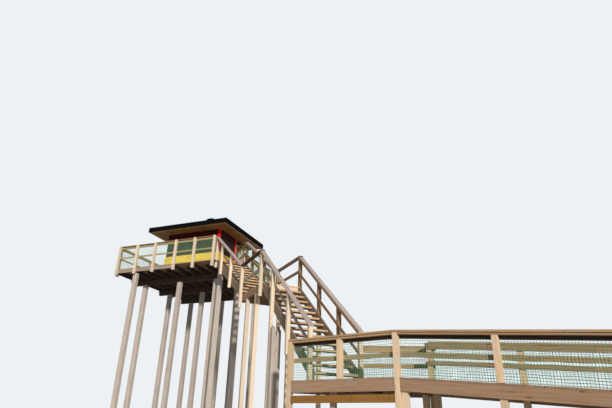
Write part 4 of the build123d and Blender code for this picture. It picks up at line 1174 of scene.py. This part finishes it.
class TOWER_OT_stair(bpy.types.Operator):
    """Set the two flights' stringers and treads, and the landing between them"""
    bl_idname = "tower.stair"
    bl_label = "Stair"

    def execute(self, context):
        sizes = context.scene.tower_timber
        inner = HALF_EDGE - STRINGER
        sides = np.array([(-HALF_EDGE, -inner), (inner, HALF_EDGE)])
        self.stringers(sides)

        def steps(start, top, risers, going):
            k = np.arange(1, risers)
            a = start + (k - 1) * going
            half = (going - 2 * sizes.gap) / 2
            a = np.concatenate([a, a + half + sizes.gap])
            level = np.tile(top - k * RISE, 2)
            return bars(STAIR, (a, a + half), (-inner, inner), (level - TREAD, level), "b")

        timber("upper_tread_boards", steps(0, DECK_TOP, UPPER_RISERS, UPPER_GOING), "tread",
               "tread_timber", ["upper_treads"], 0.005, seed=41)
        timber("lower_tread_boards", steps(LANDING_FRONT, LANDING_TOP, LOWER_RISERS, LOWER_GOING), "tread",
               "tread_timber", ["lower_treads"], 0.005, seed=42)

        low, high = plank_rows(LANDING_BACK, LANDING_FRONT, sizes.plank, sizes.gap)
        rows = bars(STAIR, (low, high), (-HALF_EDGE, HALF_EDGE), (LANDING_TOP - BOARD, LANDING_TOP), "b")
        timber("landing_planks", rows, "tread", "tread_timber", ["landing_boards"], sizes.edge, seed=43)
        rim = LANDING_RIM
        level = (LANDING_UNDER, LANDING_TOP - BOARD)
        across = np.array([LANDING_BACK, (LANDING_BACK + LANDING_FRONT - rim) / 2, LANDING_FRONT - rim])
        ties = bars(STAIR, (across, across + rim), (-HALF_EDGE + rim, HALF_EDGE - rim), level, "b")
        b = np.array([-HALF_EDGE, HALF_EDGE - rim])
        beams = bars(STAIR, (LANDING_BACK, LANDING_FRONT), (b, b + rim), level)
        timber("landing_timbers", [ties[:2], beams], "walk", "grey_timber", ["landing_frame"], 0.005, seed=44)
        timber("landing_front_timber", ties[2:], "post", "grey_timber", ["landing_frame"], 0.005, seed=47)
        return {"FINISHED"}

    def stringers(self, sides):
        """Each stringer is two or three lengths, cut plumb or level where its ends bear on the frame."""
        top = DECK_TOP - BOARD
        knee = (STRINGER_OVER + BOARD) * UPPER_GOING / RISE
        end = upper_nosing(LANDING_BACK)
        upper = [(0, top - STRINGER_UNDER, top), (knee, upper_nosing(knee) - STRINGER_UNDER, top),
                 (LANDING_BACK, end - STRINGER_UNDER, end + STRINGER_OVER)]
        slope = LOWER_GOING / RISE
        a = np.array([LANDING_FRONT, LANDING_FRONT + (STRINGER_OVER + BOARD) * slope,
                      LANDING_FRONT + (LANDING_TOP - STRINGER_UNDER - PLATFORM_TOP) * slope, STAIR_FOOT])
        lower = np.stack([a, np.maximum(lower_nosing(a) - STRINGER_UNDER, PLATFORM_TOP),
                          np.minimum(lower_nosing(a) + STRINGER_OVER, LANDING_TOP - BOARD)], 1)
        for flight, stations, seed in (("upper", upper, 45), ("lower", lower, 46)):
            a, low, high = np.array(stations, float).T
            boards = []
            for b0, b1 in sides:
                ends = corners(STAIR, [a] * 4, (b0, b1, b1, b0), (low, low, high, high))
                boards.append(np.stack([ends[:-1], ends[1:]], 1))
            timber(f"{flight}_stringer_timbers", boards, "stringer", "grey_timber", [f"{flight}_stringers"],
                   0.004, 0, seed=seed)


class TOWER_OT_stair_railings(bpy.types.Operator):
    """Stand the stair's posts, newels and legs and fix their handrails and boards"""
    bl_idname = "tower.stair_railings"
    bl_label = "Stair railings"

    def execute(self, context):
        nodes = ["upper_railings", "landing_railings", "lower_railings"]
        posts, right_posts, caps, rails, flat_caps, right_rails = [], [], [], [], [], []
        for level, stands, line, inner, ends, tail in stair_railing_runs():
            batten = STAIR_BATTEN if line > 0 else 0
            stand, cap, board = railing_parts(STAIR, level, stands, line, inner, ends, ends, batten,
                                              RAIL_DEPTH, tail)
            (right_posts if line > 0 else posts).append(stand)
            (flat_caps if level is landing_level else caps).append(cap)
            (right_rails if line > 0 else rails).append(board)
        under = RAIL_HEIGHT - CAP_THICK
        posts.append(uprights(STAIR, FOOT_NEWEL, np.array([-HALF_SPACING, HALF_SPACING]), POST,
                              PLATFORM_TOP, lambda a: lower_line(a) + under))
        for name, boards, look, radius, seed in (
                ("stair_posts", posts, "post", 0.005, 51),
                ("stair_right_posts", right_posts, "right_post", 0.005, 50),
                ("stair_handrails", cut(caps, STAIR_STOCK, CUT_GAP, 52), "handrail", 0.004, 53),
                ("landing_handrails", flat_caps, "landing_cap", 0.004, 57),
                ("stair_left_boards", cut(rails, STAIR_STOCK, CUT_GAP, 54), "handrail", 0.003, 55),
                ("stair_right_boards", cut(right_rails, STAIR_STOCK, CUT_GAP, 54), "right_board", 0.003, 58)):
            timber(name, boards, look, "pale_timber", nodes, radius, seed=seed)
        a = np.array([LANDING_BACK + LANDING_LEG_INSET] * 2 + [LANDING_FRONT - LANDING_LEG_INSET] * 2)
        b = np.array([-1, 1, -1, 1]) * (HALF_EDGE - LEG / 2)
        legs = [uprights(STAIR, a, b, LEG, 0.0, flat(LANDING_UNDER))]
        for side, place in ((-1, LOWER_POSTS_LEFT[0]), (1, LOWER_POSTS_RIGHT[0])):
            top = float(lower_line(FRONT_NEWEL + place)) - LOWER_TAIL
            legs.append(uprights(STAIR, FRONT_NEWEL + place, side * HALF_SPACING, POST, 0.0, flat(top)))
        timber("stair_leg_posts", legs, "post", "pale_timber", ["stair_legs"], 0.005, seed=56)
        return {"FINISHED"}


class TOWER_OT_hut(bpy.types.Operator):
    """Clad the hut: painted boards, shutters, corner posts, door and floor"""
    bl_idname = "tower.hut"
    bl_label = "Hut"

    def execute(self, context):
        sizes = context.scene.tower_hut
        walls = hut_walls()
        for node in ("front_wall", "back_wall", "left_wall"):
            paint_node(node, "shutter")
        paint_node("right_wall", "dark_shutter")
        paint_node("hut_floor", "walk")

        shutters = {"right": [], "other": []}
        for key, (place, start, end) in walls.items():
            group = shutters["right" if key == "right" else "other"]
            first, last = start + WINDOW_JAMB, end - WINDOW_JAMB
            count = max(1, round((last - first) / SHUTTER_BAY))
            leaf = (last - first - (count - 1) * SHUTTER_JOINT) / count
            for i in range(count):
                a = first + i * (leaf + SHUTTER_JOINT)
                sides = plank_rows(a, a + leaf, sizes.cladding, sizes.joint)
                group.append(bars(place, sides, (SHUTTER_SUNK, SHUTTER), (SILL, BAND_LOW), "z"))
                for z in LEDGE_LEVELS:
                    group.append(bars(place, (a + LEDGE_IN, a + leaf - LEDGE_IN), (0, LEDGE_PROUD),
                                      (z, z + LEDGE)))
        timber("shutter_boards", shutters["other"], "shutter", "grey_green_paint", ["window_shutters"],
               0.002, 0, seed=61)
        timber("right_shutter_boards", shutters["right"], "dark_shutter", "grey_green_paint",
               ["window_shutters"], 0.002, 0, seed=75)

        level = plank_rows(DECK_TOP + LOW_BOARD_LIFT, SILL, sizes.cladding, sizes.joint)
        proud = CORNER_PROUD + LOW_BOARD
        (left, front), _, (right, back), _ = hut_ring(CORNER_PROUD)
        (low_a, low_b), _, (high_a, high_b), _ = hut_ring(proud)
        cover = [bars(HUT, (low_a, high_a), (low_b, front), level),
                 bars(HUT, (low_a, high_a), (back, high_b), level),
                 bars(HUT, (low_a, left), (front, back), level, "b"),
                 bars(HUT, (right, high_a), (front, DOOR_START - CORNER_POST), level, "b")]
        timber("yellow_cladding", cover[:3], "yellow", "yellow_paint", ["yellow_boards"], 0.003, 0, seed=62)
        # The right side's boards take the deeper copy of the yellow, a painted shade
        timber("yellow_right_cladding", cover[3:], "deep_yellow", "yellow_paint", ["yellow_boards"],
               0.003, 0, seed=60)

        level = plank_rows(BAND_LOW, EAVES, TOP_BOARD, sizes.joint)
        band = [bars(place, (start, end), (-BAND_BOARD, 0), level) for place, start, end in walls.values()]
        timber("top_cladding", band, "maroon", "red_paint", ["red_top_boards"], 0.003, 0, seed=63)

        a, b = HUT_RIGHT - POST_IN, np.array([front, HUT_BACK - POST_IN, DOOR_START - CORNER_POST])
        posts = bars(HUT, (a, a + CORNER_POST), (b, b + CORNER_POST), (DECK_TOP, EAVES), "z")
        feet, heads = (bars(HUT, (left, left + CORNER_POST), (b[:2], b[:2] + CORNER_POST), levels, "z")
                       for levels in ((DECK_TOP, BAND_LOW), (BAND_LOW, EAVES)))
        timber("hut_left_posts", feet, "shutter", "grey_green_paint", ["corner_posts"], 0.006, 0, seed=64)
        timber("hut_left_post_heads", heads, "maroon", "red_paint", ["corner_posts"], 0.006, 0, seed=59)
        timber("hut_right_posts", posts, "red", "red_paint", ["corner_posts"], 0.006, 0, seed=69)
        self.door(walls["right"][0])
        return {"FINISHED"}

    def door(self, place):
        """A framed leaf with glass above and boards below, in a pale frame, with lever and hinges."""
        start, head = DOOR_START - HUT_FRONT, DECK_TOP + DOOR_HEIGHT
        end = start + DOOR_BAY
        left, right = start + DOOR_FRAME, end - DOOR_FRAME
        low, high = DECK_TOP + FLOOR_SHEET, head - DOOR_FRAME
        frame = [bars(place, (start, left), (0, WALL), (DECK_TOP, head), "z"),
                 bars(place, (right, end), (0, WALL), (DECK_TOP, head), "z"),
                 bars(place, (left, right), (0, WALL), (high, head))]
        timber("door_frame_timbers", frame, "post", "pale_timber", ["door_frame"], 0.004, 0, seed=65)
        inner = (left + DOOR_STILE, right - DOOR_STILE)
        deep = (DOOR_GAP, DOOR_GAP + DOOR_LEAF)
        foot, (middle, sill) = low + DOOR_BOTTOM_RAIL, (low + z for z in DOOR_LOCK_RAIL)
        leaf = [bars(place, (left, inner[0]), deep, (low, high), "z"),
                bars(place, (inner[1], right), deep, (low, high), "z"),
                bars(place, inner, deep, (np.array([low, middle, high - DOOR_STILE]),
                                          np.array([foot, sill, high]))),
                bars(place, plank_rows(*inner, DOOR_BOARD, CUT_GAP), DOOR_PANEL, (foot, middle), "z")]
        timber("door_leaf", leaf, "door", "red_paint", ["door"], 0.003, 0, seed=66)
        glass = bars(place, inner, DOOR_GLASS, (sill, high - DOOR_STILE), "z")
        timber("door_glass", glass, "glass", "red_paint", [], 0.001, 0, seed=67)
        edge = (left, DOOR_GAP, low)
        lever = [bars(place, *(np.array(pair) + at for pair, at in zip(sides, edge)), axis)
                 for *sides, axis in DOOR_LEVER]
        hinges = np.array([low + HINGE_LOW, low + HINGE_MIDDLE, high - HINGE_TOP])
        lever.append(bars(place, (right - HINGE_RADIUS, right + HINGE_RADIUS),
                          (DOOR_GAP - HINGE_RADIUS, DOOR_GAP + HINGE_SUNK),
                          (hinges, hinges + HINGE_HEIGHT), "z"))
        timber("door_lever", lever, "steel", "red_paint", [], 0.003, 0, seed=68)


def paint_node(node, key):
    """A CAD node whose shape is right keeps it and takes a finish."""
    mesh = frame["nodes"][node].data
    mesh.materials.clear()
    mesh.materials.append(finish(key))


class TOWER_OT_roof(bpy.types.Operator):
    """Board the soffit, set the fascia, and lay felt up the four slopes"""
    bl_idname = "tower.roof"
    bl_label = "Roof"

    def execute(self, context):
        outer, inner, edge = hut_ring(EAVES_OVER - FASCIA), hut_ring(0), hut_ring(EAVES_OVER)
        flat_board = (EAVES, EAVES, EAVES + SOFFIT, EAVES + SOFFIT)
        reach = inner - outer
        boards = [self.mitred(outer + reach * s, outer + reach * (s + SOFFIT_SHARE), flat_board)
                  for s in np.arange(SOFFIT_ROWS) / SOFFIT_ROWS]
        low, high = plank_rows(HUT_FRONT, HUT_BACK, SOFFIT_BOARD, CUT_GAP)
        boards.append(bars(HUT, (HUT_LEFT, HUT_RIGHT), (low, high), (EAVES, EAVES + SOFFIT)))
        # The outer ring takes the paler finish, a painted highlight along the eaves' edge
        timber("soffit_edge_boards", boards[:1], "trim", "brown_paint", ["soffit"], 0.002, 0, seed=70)
        timber("soffit_boards", boards[1:], "soffit", "brown_paint", ["soffit"], 0.002, 0, seed=71)
        base = EAVES + FASCIA_HEIGHT
        fascia = self.mitred(edge, outer, (EAVES, EAVES, base, base))
        timber("fascia_boards", fascia, "felt", "black_felt", ["roof_fascia"], 0.004, 0, seed=72)

        eave, half, mid = base + ROOF_SHEET, (edge[2, 1] - edge[0, 1]) / 2, (edge[2, 1] + edge[0, 1]) / 2
        ends = (edge[0, 0] + half, mid), (edge[1, 0] - half, mid)
        ridge = np.array([ends[0], ends[1], ends[1], ends[0]])
        rows = context.scene.tower_hut.felt_rows
        felt = []
        for i in range(rows):
            s0, s1 = i / rows - (FELT_LAP if i else 0), (i + 1) / rows
            z0, z1 = eave + ROOF_RISE * s0 + FELT_LIFT[0], eave + ROOF_RISE * s1 + FELT_LIFT[1]
            felt.append(self.mitred(edge + (ridge - edge) * s0, edge + (ridge - edge) * s1,
                                    (z0 - FELT, z1 - FELT, z1, z0)))
        timber("felt_rows", felt, "felt", "black_felt", [], 0.001, 0, seed=73)
        for node in ("front_roof", "right_roof", "back_roof", "left_roof"):
            paint_node(node, "felt")
        profile = [(HIP_SIDE, -HIP_FALL - 0.006), (0, -0.002), (-HIP_SIDE, -HIP_FALL - 0.006),
                   (-HIP_SIDE, -HIP_FALL), (0, 0.006), (HIP_SIDE, -HIP_FALL)]
        for i, name in enumerate(("front_left", "front_right", "back_right", "back_left")):
            start = np.array([*edge[i], eave + HIP_LIFT])
            end = np.array([*ridge[i], eave + ROOF_RISE + HIP_LIFT])
            start += (end - start) * HIP_START
            carried(f"hip_cap_{name}", profile, np.linspace(start, end, 9), "felt", "black_felt")
        self.ridge()
        return {"FINISHED"}

    def mitred(self, outer, inner, levels):
        """Four boards between two rectangles on the plan, mitred at their corners. levels are those
        of the outer and inner edge below, then of the inner and outer edge above."""
        a, b = np.stack([outer, inner, inner, outer]).transpose(2, 0, 1)
        start = corners(HUT, a, b, levels)
        return np.stack([start, np.roll(start, -1, 0)], 1)

    def ridge(self):
        """A capping along the ridge. Its section has sloping sides and a rounded top; along it, the
        height over the ridge follows a flat-topped sine, so that both ends come down to the hips."""
        low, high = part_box("ridge_cap")
        half, mid = (high[1] - low[1]) / 2, (low[1] + high[1]) / 2
        turn = np.linspace(0, np.pi, 9)
        side = np.concatenate([[half, half], half * 0.7 * np.cos(turn), [-half, -half]])
        share = np.concatenate([[0, 0.15], 0.55 + 0.45 * np.sin(turn), [0.15, 0]])
        s = np.linspace(0, 1, 13)
        over = np.minimum(1, 1.35 * np.sin(np.pi * s) ** 0.7)[:, None]
        foot = low[2] + 0.001
        z = foot + (high[2] - foot) * share * (0.42 + 0.58 * over)
        z[:, [0, -1]] = foot
        x = low[0] + (high[0] - low[0]) * s[:, None] + 0 * z
        faces = [face[:, ::-1] for face in tubes(1, len(s), len(side))]
        points = np.stack([x, mid + side + 0 * z, z], -1)
        make("ridge_capping", points, faces, "felt", "black_felt", ["ridge_cap"])


class TOWER_OT_boardwalk(bpy.types.Operator):
    """Lay the platform and ramp, their edge boards, joists, posts and legs"""
    bl_idname = "tower.boardwalk"
    bl_label = "Boardwalk"

    def execute(self, context):
        sizes = context.scene.tower_timber
        outline = platform_outline()
        left, right = outline[[0, 5, 4, 3]], outline[[1, 2, 3]]
        low, high = plank_rows(-WALK_EDGE, PLATFORM_BACK - PLATFORM_SHORT, sizes.plank, sizes.gap)
        rows = planks(WALK, low, high, lambda b: np.interp(b, left[:, 1], left[:, 0]),
                      lambda b: np.interp(b, right[:, 1], right[:, 0]), PLATFORM_TOP - BOARD, PLATFORM_TOP)
        timber("platform_planks", rows, "walk", "brown_timber", ["platform_boards"], sizes.edge, seed=82)
        end = RAMP_LENGTH + WALK_EDGE
        a0, a1 = plank_rows(BEAM_CUT, end, sizes.plank, sizes.gap)
        ramp = crosswise(WALK, walk_level, a0, a1, -BOARD, 0.0, -WALK_EDGE, FAR_EDGE)
        timber("ramp_planks", ramp, "walk", "brown_timber", ["ramp_boards"], sizes.edge, seed=83)
        self.frame(outline)
        self.posts()
        return {"FINISHED"}

    def frame(self, outline):
        """The edge boards butt the main posts, and the joists run back from the front edge."""
        half = WALK_POST / 2
        under, low = PLATFORM_TOP - BOARD, PLATFORM_TOP - WALK_FASCIA_DEPTH
        inner = inset(outline, WALK_FASCIA)
        skin = (-WALK_EDGE, WALK_FASCIA - WALK_EDGE)
        inside = (WALK_FASCIA - WALK_EDGE, FAR_EDGE - WALK_FASCIA)
        a, b = np.stack([outline, inner, inner, outline]).transpose(2, 0, 1)
        ends = corners(WALK, a, b, (low, low, under, under))
        edges = [bars(WALK, (-PLATFORM_LENGTH + half, -half), skin, (low, under)),
                 bars(WALK, (-WALK_FASCIA, 0), (half, WALK_WIDTH - half), (low, under), "b"),
                 np.stack([ends[2:5], ends[3:6]], 1)]
        ramp = (WALK, walk_level, half, RAMP_LENGTH - half, -WALK_FASCIA_DEPTH, -BOARD)
        edges += [strips(*ramp, *sides) for sides in (skin, (inside[1], FAR_EDGE))]
        timber("walk_edge_planks", edges, "walk", "brown_timber", ["boardwalk_edge_boards"], 0.006, seed=84)

        a = self.joist_places(inner)
        back_edge = inner[[5, 4, 3, 2]].T
        back = np.minimum(np.interp(a, *back_edge), np.interp(a + WALK_JOIST, *back_edge))
        reach = self.cross_beams()
        timbers = [bars(WALK, (a, a + WALK_JOIST), (skin[1], back), (under - WALK_JOIST_DEPTH, under), "b"),
                   crosswise(WALK, walk_level, reach - LEG / 2, reach + LEG / 2, -BOARD - WALK_JOIST_DEPTH,
                             -BOARD, *inside)]
        timber("walk_joist_timbers", timbers, "frame", "brown_timber", ["boardwalk_joists"], 0.005, seed=85)
        top = low - LOWER_BEAM_GAP
        marks = np.array([-PLATFORM_LENGTH + half, *LOWER_BEAM_JOINTS, -half])
        beam = bars(WALK, (marks[:-1] + BEAM_CUT, marks[1:] - BEAM_CUT),
                    (-WALK_EDGE, LOWER_BEAM_WIDTH - WALK_EDGE), (top - LOWER_BEAM_DEPTH, top))
        timber("lower_beam", beam, "beam", "brown_timber", ["boardwalk_joists"], 0.005, seed=86)

    def joist_places(self, inner):
        return spread(inner[0][0] + WALK_POST, inner[1][0] - WALK_POST, PLATFORM_BAY / 2)

    def cross_beams(self):
        return np.arange(RAMP_BAYS + 1) * RAMP_BAY + np.array([LEG] + [0] * (RAMP_BAYS - 1) + [-LEG])

    def posts(self):
        """Main posts from the ground to the handrail, and short legs under the beams and joists."""
        top = WALK_RAIL_HEIGHT - WALK_CAP_THICK
        joist_low = PLATFORM_TOP - BOARD - WALK_JOIST_DEPTH
        a, b = np.array([(-PLATFORM_LENGTH, 0), (0, 0), (0, WALK_WIDTH), (RAMP_LENGTH, 0),
                         (RAMP_LENGTH, WALK_WIDTH)]).T
        stands = [uprights(WALK, a, b, WALK_POST, 0.0, lambda a: walk_level(a) + top)]
        reach = np.repeat(self.cross_beams(), 2)
        inside = (WALK_FASCIA - WALK_EDGE + LEG / 2, FAR_EDGE - WALK_FASCIA - LEG / 2)
        stands.append(uprights(WALK, reach, np.tile(inside, RAMP_BAYS + 1), LEG, 0.0,
                               lambda a: walk_level(a) - BOARD - WALK_JOIST_DEPTH))
        places = self.joist_places(inset(platform_outline(), WALK_FASCIA)) + WALK_JOIST / 2
        b = np.array([PLATFORM_LEG_BACK, WALK_WIDTH - WALK_POST])
        stands.append(uprights(WALK, places[[1, -1]], b, LEG, 0.0, flat(joist_low)))
        timber("walk_main_posts", stands, "knotty", "pale_timber", ["boardwalk_posts"], 0.006, seed=87)


class TOWER_OT_walk_railings(bpy.types.Operator):
    """Stand the boardwalk's middle posts and fix the stacked handrail and boards"""
    bl_idname = "tower.walk_railings"
    bl_label = "Boardwalk railings"

    def execute(self, context):
        half = WALK_POST / 2
        height = WALK_RAIL_HEIGHT
        middle = height - WALK_CAP_THICK
        under = middle - WALK_CAP_THICK
        posts, caps, rails, battens = [], [], [], []
        mid_low, mid_high = WALK_MID_RAIL_HEIGHT - RAIL_DEPTH / 2, WALK_MID_RAIL_HEIGHT + RAIL_DEPTH / 2
        for place, level, start, end, stands, line, inner, gaps in walk_runs():
            run = (place, level, start, end)
            reach = half + WALK_CAP_OVER
            width = sorted((line - inner * reach, line + inner * (reach + RAIL_THICK)))
            board = sorted((line + inner * half, line + inner * (half + RAIL_THICK)))
            caps.append(strips(*run, middle, height, *width))
            # The near battens take the painted-shade finish; the far ones, which face the light, take the
            # boardwalk's own
            (battens if line == 0 and place is WALK else rails).append(
                strips(*run, under - WALK_BATTEN, middle, *board))
            rails.append(strips(*run, mid_low, mid_high, *board))
            cuts = sorted([start - half, end + half, *gaps])
            for a, b in zip(cuts, cuts[1:]):
                if b - a > WALK_POST:
                    caps.append(strips(place, level, a + half, b - half, under, middle - WALK_CAP_JOINT,
                                       line - half, line + half))
            stands = np.array(stands, float)
            posts.append(uprights(place, stands, line, WALK_POST, level(stands),
                                  lambda a, level=level: level(a) + under))
        nodes = ["platform_railings", "ramp_railings"]
        timber("walk_middle_posts", posts, "knotty", "pale_timber", nodes, 0.006, seed=91)
        for name, boards, look, radius, seed in (("walk_handrails", caps, "walk_cap", 0.005, 92),
                                                 ("walk_rail_boards", rails, "walk_cap", 0.004, 94),
                                                 ("walk_batten_boards", battens, "shaded", 0.004, 96)):
            timber(name, cut(boards, WALK_STOCK, CUT_GAP, seed), look, "brown_timber", nodes, radius,
                   seed=seed + 1)
        return {"FINISHED"}


class TOWER_OT_netting(bpy.types.Operator):
    """Stretch green coated netting between the posts and the boards of the railings"""
    bl_idname = "tower.netting"
    bl_label = "Netting"

    def execute(self, context):
        sizes = context.scene.tower_net
        off = WALK_POST / 2 - sizes.strand
        top = WALK_RAIL_HEIGHT - 2 * WALK_CAP_THICK - WALK_BATTEN + NET_LAP
        walk = [(place, level, start, end, line + inner * off, NET_LOW, top)
                for place, level, start, end, stands, line, inner, gaps in walk_runs()]
        net("walk_netting", walk, sizes.cell, sizes.strand, "net")
        off, top = POST / 2 - sizes.fine, RAIL_HEIGHT - CAP_THICK
        deck = [(place, deck_level, *ends, line + inner * off, NET_LOW, top)
                for place, posts, line, inner, caps, ends in deck_railing_runs().values()]
        deck += [(STAIR, level, *ends, line + inner * off, NET_LOW, top)
                 for level, posts, line, inner, ends, tail in stair_railing_runs()
                 if line > 0 and level is upper_line]
        net("deck_netting", deck, sizes.cell, sizes.fine, "net")
        return {"FINISHED"}


class TOWER_OT_fixings(bpy.types.Operator):
    """Set bolt heads on washers where the posts meet the frame"""
    bl_idname = "tower.fixings"
    bl_label = "Fixings"

    def execute(self, context):
        bolts = [(place, posts, line, inner, DECK_TOP - drop) for drop in DECK_BOLTS
                 for place, posts, line, inner, caps, ends in deck_railing_runs().values()]
        bolts += [(STAIR, posts, line, inner, level(posts) - drop) for drop in STAIR_BOLTS
                  for level, posts, line, inner, ends, tail in stair_railing_runs()]
        centres = [place.world(posts, line - inner * POST / 2, z) for place, posts, line, inner, z in bolts]
        normals = [np.tile((inner * place.sin, -inner * place.cos, 0.0), (len(posts), 1))
                   for place, posts, line, inner, z in bolts]
        domes("bolt_heads", np.concatenate(centres), np.concatenate(normals), BOLT_RADIUS, BOLT_HEIGHT,
              "steel")
        return {"FINISHED"}


class TOWER_OT_stage(bpy.types.Operator):
    """Lay the pale floor, light the tower from the front and set the camera"""
    bl_idname = "tower.stage"
    bl_label = "Stage"

    def execute(self, context):
        settings = context.scene.tower_stage
        self.floor(settings)
        self.world(settings)
        lamp = bpy.data.lights.new("key", "SUN")
        lamp.energy = settings.key
        lamp.angle = math.radians(3)
        lamp.color = linear("#FFF6EA")[:3]
        key = bpy.data.objects.new("key", lamp)
        key.rotation_euler = Vector(LAMP_RUN).to_track_quat("-Z", "Y").to_euler()
        context.scene.collection.objects.link(key)
        self.camera(settings)
        context.scene.view_settings.view_transform = "Standard"
        return {"FINISHED"}

    def floor(self, settings):
        """A level disc: the point at turn t and share s of the radius is (s cos t, s sin t)."""
        turn = np.linspace(0, 2 * np.pi, 96, endpoint=False)
        reach = FLOOR_RADIUS * np.array([0.02, 0.2, 0.5, 1.0])[:, None]
        points = np.stack([reach * np.cos(turn) + FLOOR_CENTRE[0], reach * np.sin(turn) + FLOOR_CENTRE[1],
                           0 * reach * turn + FLOOR_TOP], -1)
        sides, ends = (faces[:, ::-1].tolist() for faces in tubes(1, len(reach), len(turn)))
        mesh = bpy.data.meshes.new("floor")
        mesh.from_pydata(points.reshape(-1, 3).tolist(), [], sides + ends[:1])
        mesh.materials.append(material("pale_floor", self.screed, settings.glow))
        floor = bpy.data.objects.new("floor", mesh)
        bpy.context.scene.collection.objects.link(floor)

    def screed(self, tree, glow):
        """A matt, nearly white screed with faint clouds. It keeps the shadow, and where it is seen
        it is as pale as the backdrop without lighting the tower more."""
        cloud = add(tree, "TexNoise", {"Vector": add(tree, "TexCoord", out="Object"), "Scale": 0.4,
                                       "Detail": 3.0, "Roughness": 0.55})
        tone = add(tree, "Mix", {0: cloud, 6: linear("#E6E6E4"), 7: linear("#EBEBEA")}, 2, data_type="RGBA")
        shown = add(tree, "Math", (seen_plainly(tree), glow), operation="MULTIPLY")
        return add(tree, "BsdfPrincipled", {"Base Color": tone, "Roughness": 0.9, "Emission Color": tone,
                                            "Emission Strength": shown})

    def world(self, settings):
        """Even light from all round; the backdrop's own colour where the camera, a gloss or glass sees it."""
        world = bpy.data.worlds.new("pale_room")
        world.use_nodes = True
        tree = world.node_tree
        tree.nodes.clear()
        tone = add(tree, "Mix", {0: seen_plainly(tree), 6: [settings.fill] * 3 + [1.0],
                                 7: list(settings.backdrop)}, 2, data_type="RGBA")
        add(tree, "OutputWorld", [add(tree, "Background", {"Color": tone, "Strength": 1.0})])
        bpy.context.scene.world = world

    def camera(self, settings):
        """The photograph's viewpoint: low on the right, looking up at the tower and rolled a little."""
        data = bpy.data.cameras.new("camera")
        data.sensor_width = SENSOR
        data.lens = settings.focal
        data.clip_end = 500
        ahead = unit(np.array(CAMERA_AHEAD))
        right = np.array([ahead[1], -ahead[0], 0])
        tilt, roll = math.radians(CAMERA_TILT), math.radians(CAMERA_ROLL)
        look = ahead * math.cos(tilt) + np.array([0, 0, 1]) * math.sin(tilt)
        up = np.cross(right, look)
        right, up = right * math.cos(roll) + up * math.sin(roll), up * math.cos(roll) - right * math.sin(roll)
        eye = bpy.data.objects.new("camera", data)
        eye.matrix_world = Matrix([*np.stack([right, up, -look, CAMERA_AT], 1).tolist(), [0, 0, 0, 1]])
        bpy.context.scene.collection.objects.link(eye)
        bpy.context.scene.camera = eye


class TOWER_PT_panel(bpy.types.Panel):
    """Sizes, and the operators in the order they are run"""
    bl_idname = "TOWER_PT_panel"
    bl_label = "Lifeguard tower"
    bl_space_type = "VIEW_3D"
    bl_region_type = "UI"
    bl_category = "Tower"

    def draw(self, context):
        for key, group in SETTINGS.items():
            box = self.layout.box()
            for name in group.__annotations__:
                box.prop(getattr(context.scene, key), name)
        for operator in OPERATORS:
            self.layout.operator(operator.bl_idname)


SETTINGS = {"tower_timber": TowerTimber, "tower_net": TowerNet, "tower_hut": TowerHut,
            "tower_colours": TowerColours, "tower_stage": TowerStage}
OPERATORS = [TOWER_OT_stage, TOWER_OT_deck_boards, TOWER_OT_deck_frame, TOWER_OT_piles,
             TOWER_OT_deck_railings, TOWER_OT_stair, TOWER_OT_stair_railings, TOWER_OT_hut, TOWER_OT_roof,
             TOWER_OT_boardwalk, TOWER_OT_walk_railings, TOWER_OT_netting, TOWER_OT_fixings]
CLASSES = [*SETTINGS.values(), *OPERATORS, TOWER_PT_panel]


def register():
    for item in CLASSES:
        bpy.utils.register_class(item)
    for key, group in SETTINGS.items():
        setattr(bpy.types.Scene, key, PointerProperty(type=group))


def unregister():
    for key in SETTINGS:
        delattr(bpy.types.Scene, key)
    for item in reversed(CLASSES):
        bpy.utils.unregister_class(item)


def main():
    register()
    for operator in OPERATORS:
        area, name = operator.bl_idname.split(".")
        getattr(getattr(bpy.ops, area), name)()


if __name__ == "__main__":
    main()
